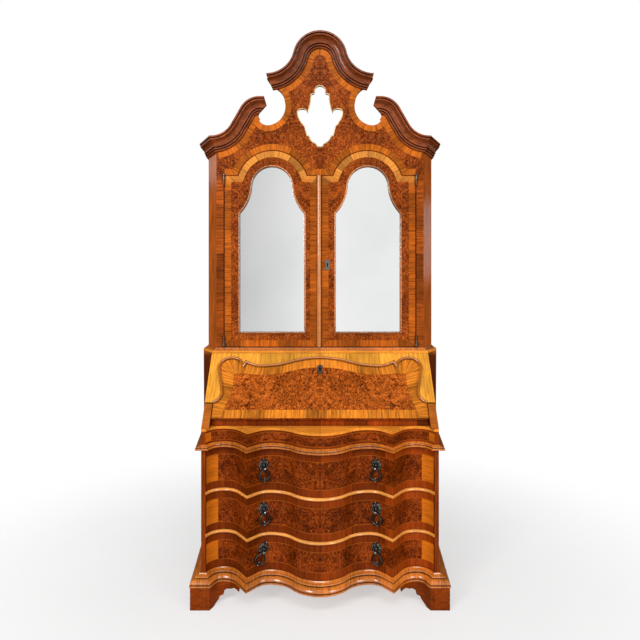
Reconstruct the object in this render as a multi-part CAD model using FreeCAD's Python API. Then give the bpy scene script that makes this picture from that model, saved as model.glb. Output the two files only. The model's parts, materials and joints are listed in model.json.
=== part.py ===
import FreeCAD, Part
import math
import os

# Bureau cabinet: a serpentine chest of three drawers, a desk with a sloping fall,
# and a two-door cabinet under a pierced scroll pediment.
# Millimetres. X runs to the right, Y to the back, Z up, with the floor at Z = 0.

V = FreeCAD.Vector

# Plan of the serpentine front, right half
BULGE_Y = -267.0
BULGE_RADIUS = 140.0
HOLLOW_X = 201.0
HOLLOW_Y = -174.0
CUSP_X = 288.0
CUSP_Y = -242.0
CUSP_INNER_ANGLE = 50.0
CUSP_OUTER_ANGLE = 55.0
END_HOLLOW_X = 393.0
END_HOLLOW_Y = -148.0
STILE_ANGLE = 65.0
STILE_INNER_X = 460.0
STILE_OUTER_X = 478.0
STILE_Y = -201.0

# Plan of the sides
KNEE_X = 535.0
KNEE_Y = 133.0
REAR_Y = 305.0
SIDE_WALL = 20.0
BACK_WALL = 12.0

# Heights of the chest
FOOT_H = 89.0
BASE_H = 45.0
DRAWER_3_H = 139.0
DRAWER_2_H = 158.0
DRAWER_1_H = 169.0
BEAD_H = 13.0
WAIST_H = 21.0
FRIEZE_H = 62.0
LEDGE_WALL = 10.0

# Mouldings of the chest, as reach in front of the drawer fronts
BEAD_REACH = 8.0
WAIST_REACH = 20.0
BASE_REACH = 38.0
REAR_FADE = 0.25
STILE_SPREAD = 0.62
CORNER_SPREAD = 1.05

# Bracket feet
FOOT_WALL = 24.0
FOOT_SETBACK = 3.0
FOOT_TOE_W = 88.0
FOOT_WING_END_X = 322.0
FOOT_SIDE_L = 130.0

# Lower edges of a bracket foot, as (distance in from the toe, height)
FOOT_SCALLOPS = [(0, 0), (18, 20), (20, 30), (35, 35), (33, 48), (50, 60), (69, 63), (80, 70)]
FOOT_SIDE_SCALLOPS = [(0, 0), (40, 33), (60, 58)]

# Drawers and the frieze
FRONT_WALL = 26.0
FRONT_GAP = 1.0
STILE_GAP = 2.0
RUN_GAP = 0.3
BOX_WALL = 13.0
BOX_FLOOR = 8.0
BOX_REAR_GAP = 18.0
BOX_HEAD_GAP = 16.0

# Ring pulls
PULL_X = 230.0
PULL_ABOVE_MIDDLE = 18.0
ROSETTE_R = 20.0
ROSETTE_T = 4.0
ROSETTE_PETALS = 8
PETAL_R = 7.0
CREST_TIP_R = 2.0
KNOB_R = 9.0
POST_R = 4.0
POST_L = 12.0
EYE_W = 6.0
EYE_R = 5.5
RING_WIRE_R = 2.6
RING_FIT = 0.05
RING_TOP_W = 16.0
RING_CORNER_R = 6.0
RING_R = 20.0
RING_DROP = 26.0
RING_STAND_OFF = 15.0
BUD_R = 4.5
EYE_DROP = 12.0
TILTS = {("3", "left"): 28.0, ("3", "right"): -8.0, ("2", "right"): -6.0}

# Desk
SLOPE_RISE = 278.0
SLOPE_RUN = 234.0
SLOPE_FOOT = 3.0
DESK_TOP_H = 10.0
DESK_KNEE_X = 540.0
DESK_KNEE_Y = 150.0
CHEEK_W = 31.0
CHEEK_L = 112.0
FALL_WALL = 22.0
FALL_START = 50.0
FALL_SIDE_X = 479.0
FALL_GAP = 1.5
NOTCH_END = 118.0
PIVOT_INSET = 6.0
PIVOT_R = 3.0
PIVOT_FIT = 0.05
PIVOT_REACH = 14.0
RAIL_WALL = 20.0
RAIL_GAP = 1.0
BED_WALL = 16.0
BED_H = 31.0
PIGEON_WALL = 8.0
PIGEON_BAYS = 6
PIGEON_FRONT_Y = 130.0
PIGEON_SHELF_H = 120.0

# Sunken panel of the fall, right half, as (x, distance up the slope) spans from its foot
PANEL_DEPTH = 9.0
PANEL_SPANS = [
    ((446, 118), (424, 135), (414, 165)),
    ((414, 165), (424, 215), (440, 280)),
    ((440, 280), (428, 322), (385, 338)),
    ((385, 338), (350, 326), (333, 300)),
    ((333, 300), None, (323, 319)),
    ((323, 319), (290, 303), (259, 297)),
    ((259, 297), (190, 303), (130, 318)),
    ((130, 318), (65, 334), (0, 340)),
]

# Upper cabinet
FACE_Y = 53.0
FACE_X = 463.0
CORNER_X = 520.0
CORNER_Y = 165.0
FACE_WALL = 22.0
UPPER_WALL = 18.0
UPPER_H = 893.0
PARAPET_H = 40.0
SHELF_WALL = 16.0
SHELF_COUNT = 2
SHELF_FRONT_GAP = 20.0
CABINET_MOULD_H = 12.0
CABINET_MOULD_REACH = 14.0

# Doors
PIVOT_X = 429.0
PIVOT_PROUD = 8.0
HINGE_PIN_R = 2.5
HINGE_R = 4.5
KNUCKLE_L = 26.0
KNUCKLE_FIXED_L = 12.0
LEAF_W = 24.0
LEAF_WALL = 1.5
LUG_WALL = 3.0
BALL_R = 7.0
DOOR_GAP = 2.0
DOOR_LIFT = 3.0
DOOR_WALL = 20.0
MEET_X = 7.0
ARCH_X = 212.0
ARCH_HALF = 154.0
ARCH_RISE = 112.0
ARCH_HEADROOM = 12.0
MIRROR_X = 214.5
MIRROR_HALF = 147.5
MIRROR_FOOT_H = 66.0
MIRROR_SHOULDER_DROP = 117.0
MIRROR_NECK_HALF = 94.0
MIRROR_NECK_DROP = 51.0
MIRROR_WALL = 4.0
MIRROR_LAP = 8.0
MIRROR_SINK = 6.0
DOOR_BACK_WALL = 6.0
ASTRAGAL_W = 20.0
ASTRAGAL_PROUD = 8.0
ESCUTCHEON_W = 30.0
ESCUTCHEON_H = 48.0
ESCUTCHEON_WALL = 2.0
KEYHOLE_R = 4.0
KEYHOLE_Z = 3.0
KEY_SLOT_W = 4.0
KEY_SLOT_L = 14.0
DOOR_LOCK_X = 33.0
DOOR_LOCK_H = 370.0
FALL_LOCK_S = 285.0
LOCK_W = 40.0
LOCK_H = 60.0
LOCK_WALL = 8.0

# Pediment
PEDIMENT_RISE = 508.0
CROWN_RADIUS = 120.0
CROWN_TIP_X = 238.0
CROWN_TIP_SHARE = 0.628
CROWN_END_LEAN = 30.0
SCROLL_X = 247.0
SCROLL_SHARE = 0.429
SCROLL_FLAT = 20.0
SCROLL_RADIUS = 96.0
SCROLL_RUN = 213.9
SCROLL_TAIL_RADIUS = 101.0
RETURN_RISE = 44.5
SCROLL_NOSE = 9.0
SCROLL_END_LEAN = 33.0
CORNICE_W = 66.0
CORNICE_REACH = 40.0
BOARD_INSET = 8.0
COVE_STEPS = 5
NOSE_SHARE = 0.45
CUT_PAST = 1.0

# Hollow under the crown and the piercing, right half, as spans of (x, share of the pediment's rise)
NECK_SPANS = [
    ((212, 0.537), (172, 0.486), (158, 0.411)),
    ((158, 0.411), (174, 0.258), (227, 0.199)),
    ((227, 0.199), (262, 0.217), (279, 0.280)),
]
PIERCE_SPANS = [
    ((0, 0.553), (18, 0.535), (25, 0.484)),
    ((25, 0.484), None, (42, 0.472)),
    ((42, 0.472), (45, 0.404), (53, 0.337)),
    ((53, 0.337), None, (56, 0.317)),
    ((56, 0.317), (65, 0.341), (81, 0.346)),
    ((81, 0.346), (98, 0.335), (103, 0.305)),
    ((103, 0.305), (93, 0.246), (71, 0.189)),
    ((71, 0.189), None, (60, 0.104)),
    ((60, 0.104), None, (51, 0.102)),
    ((51, 0.102), (40, 0.059), (21, 0.035)),
    ((21, 0.035), None, (10, 0.006)),
]

# Levels worked out from the heights
BASE_TOP = FOOT_H + BASE_H
BAY_3 = (BASE_TOP, BASE_TOP + DRAWER_3_H)
BAY_2 = (BAY_3[1] + BEAD_H, BAY_3[1] + BEAD_H + DRAWER_2_H)
BAY_1 = (BAY_2[1] + BEAD_H, BAY_2[1] + BEAD_H + DRAWER_1_H)
BAYS = {"1": BAY_1, "2": BAY_2, "3": BAY_3}
WAIST_TOP = BAY_1[1] + WAIST_H
LEDGE_TOP = WAIST_TOP + FRIEZE_H
SLOPE_FOOT_Z = LEDGE_TOP + SLOPE_FOOT
DESK_TOP_Z = SLOPE_FOOT_Z + SLOPE_RISE
CABINET_Z = DESK_TOP_Z + DESK_TOP_H + CABINET_MOULD_H
UPPER_TOP = CABINET_Z + UPPER_H
SHOULDER_Z = UPPER_TOP - ARCH_HEADROOM - ARCH_RISE
MIRROR_LOW_Z = CABINET_Z + MIRROR_FOOT_H
MIRROR_NECK_Z = SHOULDER_Z - MIRROR_NECK_DROP
MIRROR_SHOULDER_Z = MIRROR_NECK_Z - MIRROR_SHOULDER_DROP
DOOR_LOCK_Z = CABINET_Z + DOOR_LOCK_H
APEX_Z = UPPER_TOP + PEDIMENT_RISE
CROWN_TIP_Z = UPPER_TOP + CROWN_TIP_SHARE * PEDIMENT_RISE
SCROLL_Z = UPPER_TOP + SCROLL_SHARE * PEDIMENT_RISE
SLOPE_L = math.hypot(SLOPE_RUN, SLOPE_RISE)
SLOPE_U = (SLOPE_RUN / SLOPE_L, SLOPE_RISE / SLOPE_L)
BACK_INNER_Y = REAR_Y - BACK_WALL
FRONT_BACK_Y = END_HOLLOW_Y + FRONT_WALL


def prism(points, z_low, z_high):
    """Upright solid over a plan outline of (x, y) points."""
    wire = Part.makePolygon([V(x, y, z_low) for x, y in points + points[:1]])
    return Part.Face(wire).extrude(V(0, 0, z_high - z_low))


def box(x0, x1, y0, y1, z0, z1):
    return Part.makeBox(x1 - x0, y1 - y0, z1 - z0, V(x0, y0, z0))


def mirrored(shape):
    return shape.mirror(V(0, 0, 0), V(1, 0, 0))


def arc(first, middle, last):
    return Part.Arc(first, middle, last).toShape()


def line(first, last):
    return Part.LineSegment(first, last).toShape()


def save(name, *shapes):
    """Write one node; several shapes make a group of separate solids."""
    solids = []
    for shape in shapes:
        solids.extend(shape.Solids)
    whole = solids[0] if len(solids) == 1 else Part.makeCompound(solids)
    whole.exportStep("parts/" + name + ".step")


def flank(run, rise, angle):
    """Radius and straight length of a hollow that climbs rise over run and leaves at angle."""
    turn = math.radians(angle)
    sine = math.sin(turn)
    versine = 1 - math.cos(turn)
    radius = (run * sine - rise * math.cos(turn)) / versine
    straight = (rise * sine - run * versine) / versine
    return radius, straight


def hollow_arc(x, y, radius, angle):
    """Middle and end of an arc that starts level at (x, y); a negative angle runs to the left."""
    ends = []
    for turn in (math.radians(angle / 2), math.radians(angle)):
        ends.append((x + radius * math.sin(turn), y - radius * (1 - math.cos(turn))))
    return ends


def front_half(inner_x):
    """Right half of the serpentine as (start, middle or None, end) spans, from the centre out."""
    depth = HOLLOW_Y - BULGE_Y
    radii = (HOLLOW_X ** 2 + depth ** 2) / (2 * depth)
    swing = math.degrees(math.asin(HOLLOW_X / radii))
    bulge_mid, bulge_end = hollow_arc(0, BULGE_Y, -BULGE_RADIUS, -swing)
    hollow_mid, _ = hollow_arc(HOLLOW_X, HOLLOW_Y, radii - BULGE_RADIUS, -swing)
    radius, _ = flank(CUSP_X - HOLLOW_X, HOLLOW_Y - CUSP_Y, CUSP_INNER_ANGLE)
    rise_mid, rise_end = hollow_arc(HOLLOW_X, HOLLOW_Y, radius, CUSP_INNER_ANGLE)
    radius, _ = flank(END_HOLLOW_X - CUSP_X, END_HOLLOW_Y - CUSP_Y, CUSP_OUTER_ANGLE)
    fall_mid, fall_start = hollow_arc(END_HOLLOW_X, END_HOLLOW_Y, radius, -CUSP_OUTER_ANGLE)
    radius, _ = flank(inner_x - END_HOLLOW_X, END_HOLLOW_Y - STILE_Y, STILE_ANGLE)
    end_mid, end_end = hollow_arc(END_HOLLOW_X, END_HOLLOW_Y, radius, STILE_ANGLE)
    low = (HOLLOW_X, HOLLOW_Y)
    cusp = (CUSP_X, CUSP_Y)
    end_low = (END_HOLLOW_X, END_HOLLOW_Y)
    return [
        ((0, BULGE_Y), bulge_mid, bulge_end),
        (bulge_end, hollow_mid, low),
        (low, rise_mid, rise_end),
        (rise_end, None, cusp),
        (cusp, None, fall_start),
        (fall_start, fall_mid, end_low),
        (end_low, end_mid, end_end),
        (end_end, None, (inner_x, STILE_Y)),
    ]


def front_outline(reach, z, tail, spread=0.0):
    """Closed plan wire: the serpentine moved forward by reach, then tail points round each side."""
    half = front_half(STILE_INNER_X - spread * reach)

    def place(point, side):
        return V(side * point[0], point[1] - reach, z)

    spans = [(-1, last, middle, first) for first, middle, last in reversed(half)]
    spans += [(1, first, middle, last) for first, middle, last in half]
    edges = []
    for side, first, middle, last in spans:
        if middle is None:
            edges.append(line(place(first, side), place(last, side)))
        else:
            edges.append(arc(place(first, side), place(middle, side), place(last, side)))
    corners = [place(half[-1][2], 1)]
    corners += [V(x, y, z) for x, y in tail]
    corners += [V(-x, y, z) for x, y in reversed(tail)]
    corners.append(place(half[-1][2], -1))
    edges += [line(a, b) for a, b in zip(corners, corners[1:])]
    return Part.Wire(edges)


def front_slab(z_low, z_high, tail):
    """Straight slab with the serpentine front."""
    wire = front_outline(0, z_low, tail)
    return Part.Face(wire).extrude(V(0, 0, z_high - z_low))


def stack(wires):
    return Part.makeLoft(wires, True, True)


def side_tail(reach):
    """Outside of the chest from the stile to the back, with a moulding of the given reach."""
    knee = KNEE_X + REAR_FADE * reach
    return [(STILE_OUTER_X + CORNER_SPREAD * reach, STILE_Y - reach), (knee, KNEE_Y), (knee, REAR_Y)]


def side_inner_tail():
    """Inside of the chest's side boards, from the stile to the back boards."""
    inner = KNEE_X - SIDE_WALL
    return [(STILE_INNER_X, STILE_Y), (inner, KNEE_Y), (inner, BACK_INNER_Y)]


def moulded_slab(z_low, z_high, profile):
    """Full board with a moulded edge; profile holds (share of height, reach) from the bottom up."""
    wires = []
    for share, reach in profile:
        z = z_low + share * (z_high - z_low)
        wires.append(front_outline(reach, z, side_tail(reach), STILE_SPREAD))
    return stack(wires)


def base_frame():
    shares = [(0.0, 0.95), (0.03, 1.0), (0.15, 1.0), (0.17, 0.82), (0.25, 0.82), (0.27, 0.95), (0.36, 0.95),
              (0.46, 0.89), (0.55, 0.78), (0.61, 0.64), (0.64, 0.4), (0.71, 0.38), (0.73, 0.53), (0.82, 0.5),
              (0.85, 0.3), (0.92, 0.2), (1.0, 0.12)]
    return moulded_slab(FOOT_H, BASE_TOP, [(h, r * BASE_REACH) for h, r in shares])


def waist_board():
    shares = [(0.0, 0.6), (0.07, 0.86), (0.17, 1.0), (0.34, 1.0), (0.42, 0.9), (0.45, 0.58),
              (0.58, 0.56), (0.6, 0.74), (0.72, 0.72), (0.76, 0.45), (0.88, 0.28), (1.0, 0.1)]
    return moulded_slab(BAY_1[1], WAIST_TOP, [(h, r * WAIST_REACH) for h, r in shares])


def dust_board(z_low):
    """Board between two drawers, with a half-round bead along its serpentine front."""
    wires = []
    for step in range(7):
        turn = math.pi * step / 6
        z = z_low + BEAD_H * (1 - math.cos(turn)) / 2
        wires.append(front_outline(BEAD_REACH * math.sin(turn) + FRONT_GAP, z, side_inner_tail()))
    return stack(wires)


def chest_side(z_low, z_high):
    inner = KNEE_X - SIDE_WALL
    points = [(STILE_INNER_X, STILE_Y), (STILE_OUTER_X, STILE_Y), (KNEE_X, KNEE_Y), (KNEE_X, REAR_Y),
              (inner, REAR_Y), (inner, KNEE_Y)]
    return prism(points, z_low, z_high)


def back_board(z_low, z_high):
    half = KNEE_X - SIDE_WALL
    return box(-half, half, BACK_INNER_Y, REAR_Y, z_low, z_high)


def foot_front():
    """Front face and side face of the right bracket foot, mitred at the corner."""
    reach = BASE_REACH - FOOT_SETBACK
    outer = front_outline(reach, 0, side_tail(reach), STILE_SPREAD)
    inner = front_outline(reach - FOOT_WALL, 0, side_tail(reach - FOOT_WALL), STILE_SPREAD)
    shell = Part.Face(outer).extrude(V(0, 0, FOOT_H)).cut(Part.Face(inner).extrude(V(0, 0, FOOT_H)))
    corner_x = STILE_OUTER_X + CORNER_SPREAD * reach
    toe_x = corner_x - FOOT_TOE_W
    far = corner_x + FOOT_WALL
    rises = [(toe_x - inward, z) for inward, z in FOOT_SCALLOPS]
    rises += [(FOOT_WING_END_X, rises[-1][1]), (FOOT_WING_END_X, FOOT_H), (far, FOOT_H), (far, 0)]
    front_y = STILE_Y - BASE_REACH - FOOT_WALL
    wire = Part.makePolygon([V(x, front_y, z) for x, z in rises + rises[:1]])
    face = Part.Face(wire).extrude(V(0, FOOT_SIDE_L, 0))
    bracket = shell.common(face)
    side_y = STILE_Y - reach
    heel_y = side_y + FOOT_TOE_W
    drops = [(side_y - FOOT_WALL, 0)] + [(heel_y + inward, z) for inward, z in FOOT_SIDE_SCALLOPS]
    drops += [(heel_y + FOOT_SIDE_L, FOOT_H), (side_y - FOOT_WALL, FOOT_H)]
    wire = Part.makePolygon([V(STILE_INNER_X, y, z) for y, z in drops + drops[:1]])
    wing = Part.Face(wire).extrude(V(far - STILE_INNER_X, 0, 0))
    return bracket.fuse(shell.common(wing)).removeSplitter()


def foot_rear():
    x = KNEE_X + REAR_FADE * (BASE_REACH - FOOT_SETBACK)
    points = [(x, REAR_Y - FOOT_TOE_W), (x, REAR_Y), (x - FOOT_TOE_W, REAR_Y),
              (x - FOOT_TOE_W, REAR_Y - FOOT_WALL),
              (x - FOOT_WALL, REAR_Y - FOOT_WALL), (x - FOOT_WALL, REAR_Y - FOOT_TOE_W)]
    return prism(points, 0, FOOT_H)


def build_chest():
    for name, side in (("left", -1), ("right", 1)):
        board = chest_side(BASE_TOP, BAY_1[1])
        save("lower_side_" + name, board if side > 0 else mirrored(board))
    save("base_moulding", base_frame())
    save("waist_moulding", waist_board())
    save("dust_boards", dust_board(BAY_3[1]), dust_board(BAY_2[1]))
    ledge_low = LEDGE_TOP - LEDGE_WALL
    cheek = chest_side(WAIST_TOP, ledge_low)
    front = front_slab(WAIST_TOP, ledge_low, [(STILE_INNER_X, FRONT_BACK_Y)])
    front = front.common(box(-STILE_INNER_X, STILE_INNER_X, -REAR_Y, REAR_Y, 0, LEDGE_TOP))
    front = front.cut(cheek).cut(mirrored(cheek))
    save("frieze", front)
    save("frieze_sides", cheek, mirrored(cheek))
    save("ledge_board", front_slab(ledge_low, LEDGE_TOP, side_tail(0)))
    save("back_boards", back_board(BASE_TOP, BAY_1[1]), back_board(WAIST_TOP, ledge_low),
         back_board(LEDGE_TOP, DESK_TOP_Z))
    foot = foot_front()
    heel = foot_rear()
    save("feet", foot, mirrored(foot), heel, mirrored(heel))


def build_drawer(name):
    """One long drawer: the serpentine front, and a box of two sides, a back and a floor."""
    low, high = BAYS[name]
    half = STILE_INNER_X - STILE_GAP
    front = front_slab(low + FRONT_GAP, high - FRONT_GAP, [(STILE_INNER_X, FRONT_BACK_Y)])
    front = front.common(box(-half, half, -REAR_Y, REAR_Y, 0, LEDGE_TOP))
    for pull_side in (-1, 1):
        front = front.cut(post_hole(pull_side, pull_height(name)))
    save("drawer_" + name + "_front", front)
    rear = BACK_INNER_Y - BOX_REAR_GAP
    foot = low + RUN_GAP
    head = high - BOX_HEAD_GAP
    side = box(half - BOX_WALL, half, FRONT_BACK_Y, rear, foot, head)
    back = box(BOX_WALL - half, half - BOX_WALL, rear - BOX_WALL, rear, foot, head)
    floor = box(BOX_WALL - half, half - BOX_WALL, FRONT_BACK_Y, rear - BOX_WALL, foot, foot + BOX_FLOOR)
    save("drawer_" + name + "_box", side, mirrored(side), back, floor)


def pull_frame():
    """Angle of the front and place of the pull on the curve between the hollow and the cusp."""
    radius, _ = flank(CUSP_X - HOLLOW_X, HOLLOW_Y - CUSP_Y, CUSP_INNER_ANGLE)
    turn = math.asin((PULL_X - HOLLOW_X) / radius)
    sag = radius - math.sqrt(radius ** 2 - ROSETTE_R ** 2)
    return math.degrees(turn), HOLLOW_Y - radius * (1 - math.cos(turn)), sag


def pull_height(name):
    low, high = BAYS[name]
    return (low + high) / 2 + PULL_ABOVE_MIDDLE


def place_pull(shape, side, z, tilt=0.0):
    """Turn a pull made at the origin, facing -Y, square to the front and move it to its place."""
    turn, y, _ = pull_frame()
    placed = shape.copy()
    placed.rotate(V(0, 0, 0), V(0, 1, 0), tilt)
    placed.rotate(V(0, 0, 0), V(0, 0, 1), -side * turn)
    placed.translate(V(side * PULL_X, y, z))
    return placed


def post_hole(side, z):
    return place_pull(Part.makeCylinder(POST_R, POST_L + ROSETTE_T, V(0, POST_L, 0), V(0, -1, 0)), side, z)


def rosette():
    """Flower plate with a domed middle, a post through the front and an eye for the ring."""
    _, _, sag = pull_frame()
    petal_centre = ROSETTE_R - PETAL_R
    plate = Part.makeCylinder(petal_centre, ROSETTE_T, V(0, -sag, 0), V(0, -1, 0))
    for step in range(ROSETTE_PETALS):
        turn = 2 * math.pi * step / ROSETTE_PETALS
        centre = V(petal_centre * math.cos(turn), -sag, petal_centre * math.sin(turn))
        plate = plate.fuse(Part.makeCylinder(PETAL_R, ROSETTE_T, centre, V(0, -1, 0)))
    crest = V(0, -sag - ROSETTE_T / 2, ROSETTE_R - CREST_TIP_R)
    crown = Part.makeCone(PETAL_R, CREST_TIP_R, PETAL_R, crest, V(0, 0, 1))
    crown = crown.common(box(-PETAL_R, PETAL_R, -sag - ROSETTE_T, -sag, 0, 2 * ROSETTE_R))
    dome = Part.makeSphere(KNOB_R, V(0, -sag - ROSETTE_T, 0))
    dome = dome.common(box(-KNOB_R, KNOB_R, -sag - 2 * KNOB_R, -sag, -KNOB_R, KNOB_R))
    post = Part.makeCylinder(POST_R, POST_L + sag, V(0, POST_L, 0), V(0, -1, 0))
    eye = Part.makeCylinder(EYE_R, EYE_W, V(-EYE_W / 2, -RING_STAND_OFF, -EYE_DROP), V(1, 0, 0))
    neck = box(-EYE_W / 2, EYE_W / 2, -RING_STAND_OFF, -sag, -EYE_DROP - EYE_R + 1, EYE_R - EYE_DROP - 1)
    hole_end = V(-EYE_W, -RING_STAND_OFF, -EYE_DROP)
    hole = Part.makeCylinder(RING_WIRE_R + RING_FIT, 2 * EYE_W, hole_end, V(1, 0, 0))
    return plate.fuse([crown, dome, post, neck, eye]).cut(hole)


def ring():
    """Onion-shaped drop ring whose level top turns in the rosette's eye, with a bud below."""
    half = RING_TOP_W / 2
    low = RING_CORNER_R - RING_DROP
    reach = math.hypot(half, low)
    lean = math.atan2(low, -half) + math.acos((RING_CORNER_R - RING_R) / reach)

    def spot(x, z):
        return V(x, -RING_STAND_OFF, z - EYE_DROP)

    def round_point(centre, radius, turn):
        return spot(centre[0] + radius * math.cos(turn), centre[1] + radius * math.sin(turn))

    corner = (half, -RING_CORNER_R)
    bowl = (0, -RING_DROP)
    halfway = (math.pi / 2 + lean) / 2
    lower = (lean - math.pi / 2) / 2
    points = [spot(0, 0), spot(half, 0), round_point(corner, RING_CORNER_R, halfway),
              round_point(corner, RING_CORNER_R, lean), round_point(bowl, RING_R, lean),
              round_point(bowl, RING_R, lower), round_point(bowl, RING_R, -math.pi / 2)]
    right = [(points[0], None, points[1]), (points[1], points[2], points[3]), (points[3], None, points[4]),
             (points[4], points[5], points[6])]

    def flip(point):
        return None if point is None else V(-point.x, point.y, point.z)

    edges = []
    for first, middle, last in right + [(flip(c), flip(b), flip(a)) for a, b, c in reversed(right)]:
        edges.append(line(first, last) if middle is None else arc(first, middle, last))
    section = Part.Wire(Part.makeCircle(RING_WIRE_R, points[0], V(1, 0, 0)))
    loop = Part.Wire(edges).makePipeShell([section], True, False)
    return loop.fuse(Part.makeSphere(BUD_R, points[6], V(0, 1, 0)))


def build_pulls(name):
    z = pull_height(name)
    flowers = []
    for label, side in (("left", -1), ("right", 1)):
        tilt = TILTS.get((name, label), 0.0)
        flowers.append(place_pull(rosette(), side, z, tilt))
        save("ring_" + name + "_" + label, place_pull(ring(), side, z, tilt))
    save("drawer_" + name + "_rosettes", *flowers)


def slope(x, along, depth):
    """Point on the fall's slope: distance up from its foot, depth in from its outer face."""
    y = STILE_Y + along * SLOPE_U[0] + depth * SLOPE_U[1]
    z = SLOPE_FOOT_Z + along * SLOPE_U[1] - depth * SLOPE_U[0]
    return V(x, y, z)


def slope_y(z, depth):
    along = (z - SLOPE_FOOT_Z + depth * SLOPE_U[0]) / SLOPE_U[1]
    return STILE_Y + along * SLOPE_U[0] + depth * SLOPE_U[1]


def slope_solid(spans, depth_low, depth_high):
    """Solid on the slope over an outline of (start, middle or None, end) spans of (x, along)."""
    edges = []
    for first, middle, last in spans:
        if middle is None:
            edges.append(line(slope(*first, depth_low), slope(*last, depth_low)))
        else:
            edges.append(arc(slope(*first, depth_low), slope(*middle, depth_low), slope(*last, depth_low)))
    thick = slope(0, 0, depth_high) - slope(0, 0, depth_low)
    return Part.Face(Part.Wire(edges)).extrude(thick)


def both_halves(spans):
    """Right-half spans from the outside in, then their mirror from the centre out."""
    def flip(point):
        return None if point is None else (-point[0], point[1])

    return spans + [(flip(last), flip(middle), flip(first)) for first, middle, last in reversed(spans)]


def ring_of_lines(points):
    return [(a, None, b) for a, b in zip(points, points[1:] + points[:1])]


def fall_outline():
    notch_x = STILE_OUTER_X - CHEEK_W - FALL_GAP
    top = SLOPE_L - FALL_GAP
    return ring_of_lines([(-notch_x, FALL_START), (notch_x, FALL_START), (notch_x, NOTCH_END),
                          (FALL_SIDE_X, NOTCH_END), (FALL_SIDE_X, top), (-FALL_SIDE_X, top),
                          (-FALL_SIDE_X, NOTCH_END), (-notch_x, NOTCH_END)])


def pivot_axis(x):
    return slope(x, FALL_START + PIVOT_INSET, FALL_WALL - PIVOT_INSET)


def escutcheon():
    """Keyhole plate in the XZ plane, facing -Y: a shield with a peaked head and a keyhole."""
    half = ESCUTCHEON_W / 2
    tall = ESCUTCHEON_H / 2
    left = [((0, tall), None, (-half * 0.5, tall * 0.7)),
            ((-half * 0.5, tall * 0.7), None, (-half, tall * 0.75)),
            ((-half, tall * 0.75), (-half * 0.6, 0), (-half * 0.8, -tall * 0.6)),
            ((-half * 0.8, -tall * 0.6), (-half * 0.5, -tall * 0.9), (0, -tall))]
    edges = []
    for first, middle, last in both_halves(left):
        if middle is None:
            edges.append(line(V(first[0], 0, first[1]), V(last[0], 0, last[1])))
        else:
            edges.append(arc(V(first[0], 0, first[1]), V(middle[0], 0, middle[1]), V(last[0], 0, last[1])))
    plate = Part.Face(Part.Wire(edges)).extrude(V(0, -ESCUTCHEON_WALL, 0))
    eye = Part.makeCylinder(KEYHOLE_R, 2 * ESCUTCHEON_WALL, V(0, 0, KEYHOLE_Z), V(0, -1, 0))
    slot = box(-KEY_SLOT_W / 2, KEY_SLOT_W / 2, -2 * ESCUTCHEON_WALL, 0, KEYHOLE_Z - KEY_SLOT_L, KEYHOLE_Z)
    return plate.cut(eye).cut(slot)


def build_fall():
    core = slope_solid(fall_outline(), PANEL_DEPTH, FALL_WALL)
    frame = slope_solid(fall_outline(), 0, PANEL_DEPTH)
    foot_x = PANEL_SPANS[0][0][0]
    mouth = [((foot_x, 0), None, PANEL_SPANS[0][0])]
    panel = both_halves(mouth + PANEL_SPANS) + [((-foot_x, 0), None, (foot_x, 0))]
    frame = frame.cut(slope_solid(panel, -1, PANEL_DEPTH + 1))
    reach = STILE_OUTER_X - CHEEK_W - PIVOT_REACH
    hole = Part.makeCylinder(PIVOT_R + PIVOT_FIT, CHEEK_W + PIVOT_REACH, pivot_axis(reach), V(1, 0, 0))
    core = core.cut(hole).cut(mirrored(hole))
    lock_low = FALL_LOCK_S - LOCK_H / 2
    lock_high = FALL_LOCK_S + LOCK_H / 2
    lock = slope_solid(ring_of_lines([(-LOCK_W / 2, lock_low), (LOCK_W / 2, lock_low), (LOCK_W / 2, lock_high),
                                      (-LOCK_W / 2, lock_high)]),
                       FALL_WALL - LOCK_WALL, FALL_WALL)
    save("fall_board", core.cut(lock))
    save("fall_frame", frame)
    save("fall_lock", lock)
    plate = escutcheon()
    plate.rotate(V(0, 0, 0), V(1, 0, 0), math.degrees(math.atan2(SLOPE_U[1], SLOPE_U[0])) - 90)
    plate.translate(slope(0, FALL_LOCK_S, PANEL_DEPTH))
    save("fall_escutcheon", plate)
    pin = Part.makeCylinder(PIVOT_R, CHEEK_W * 0.6 + PIVOT_REACH, pivot_axis(reach + FALL_GAP), V(1, 0, 0))
    save("fall_pivots", pin, mirrored(pin))
    return pin


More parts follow.
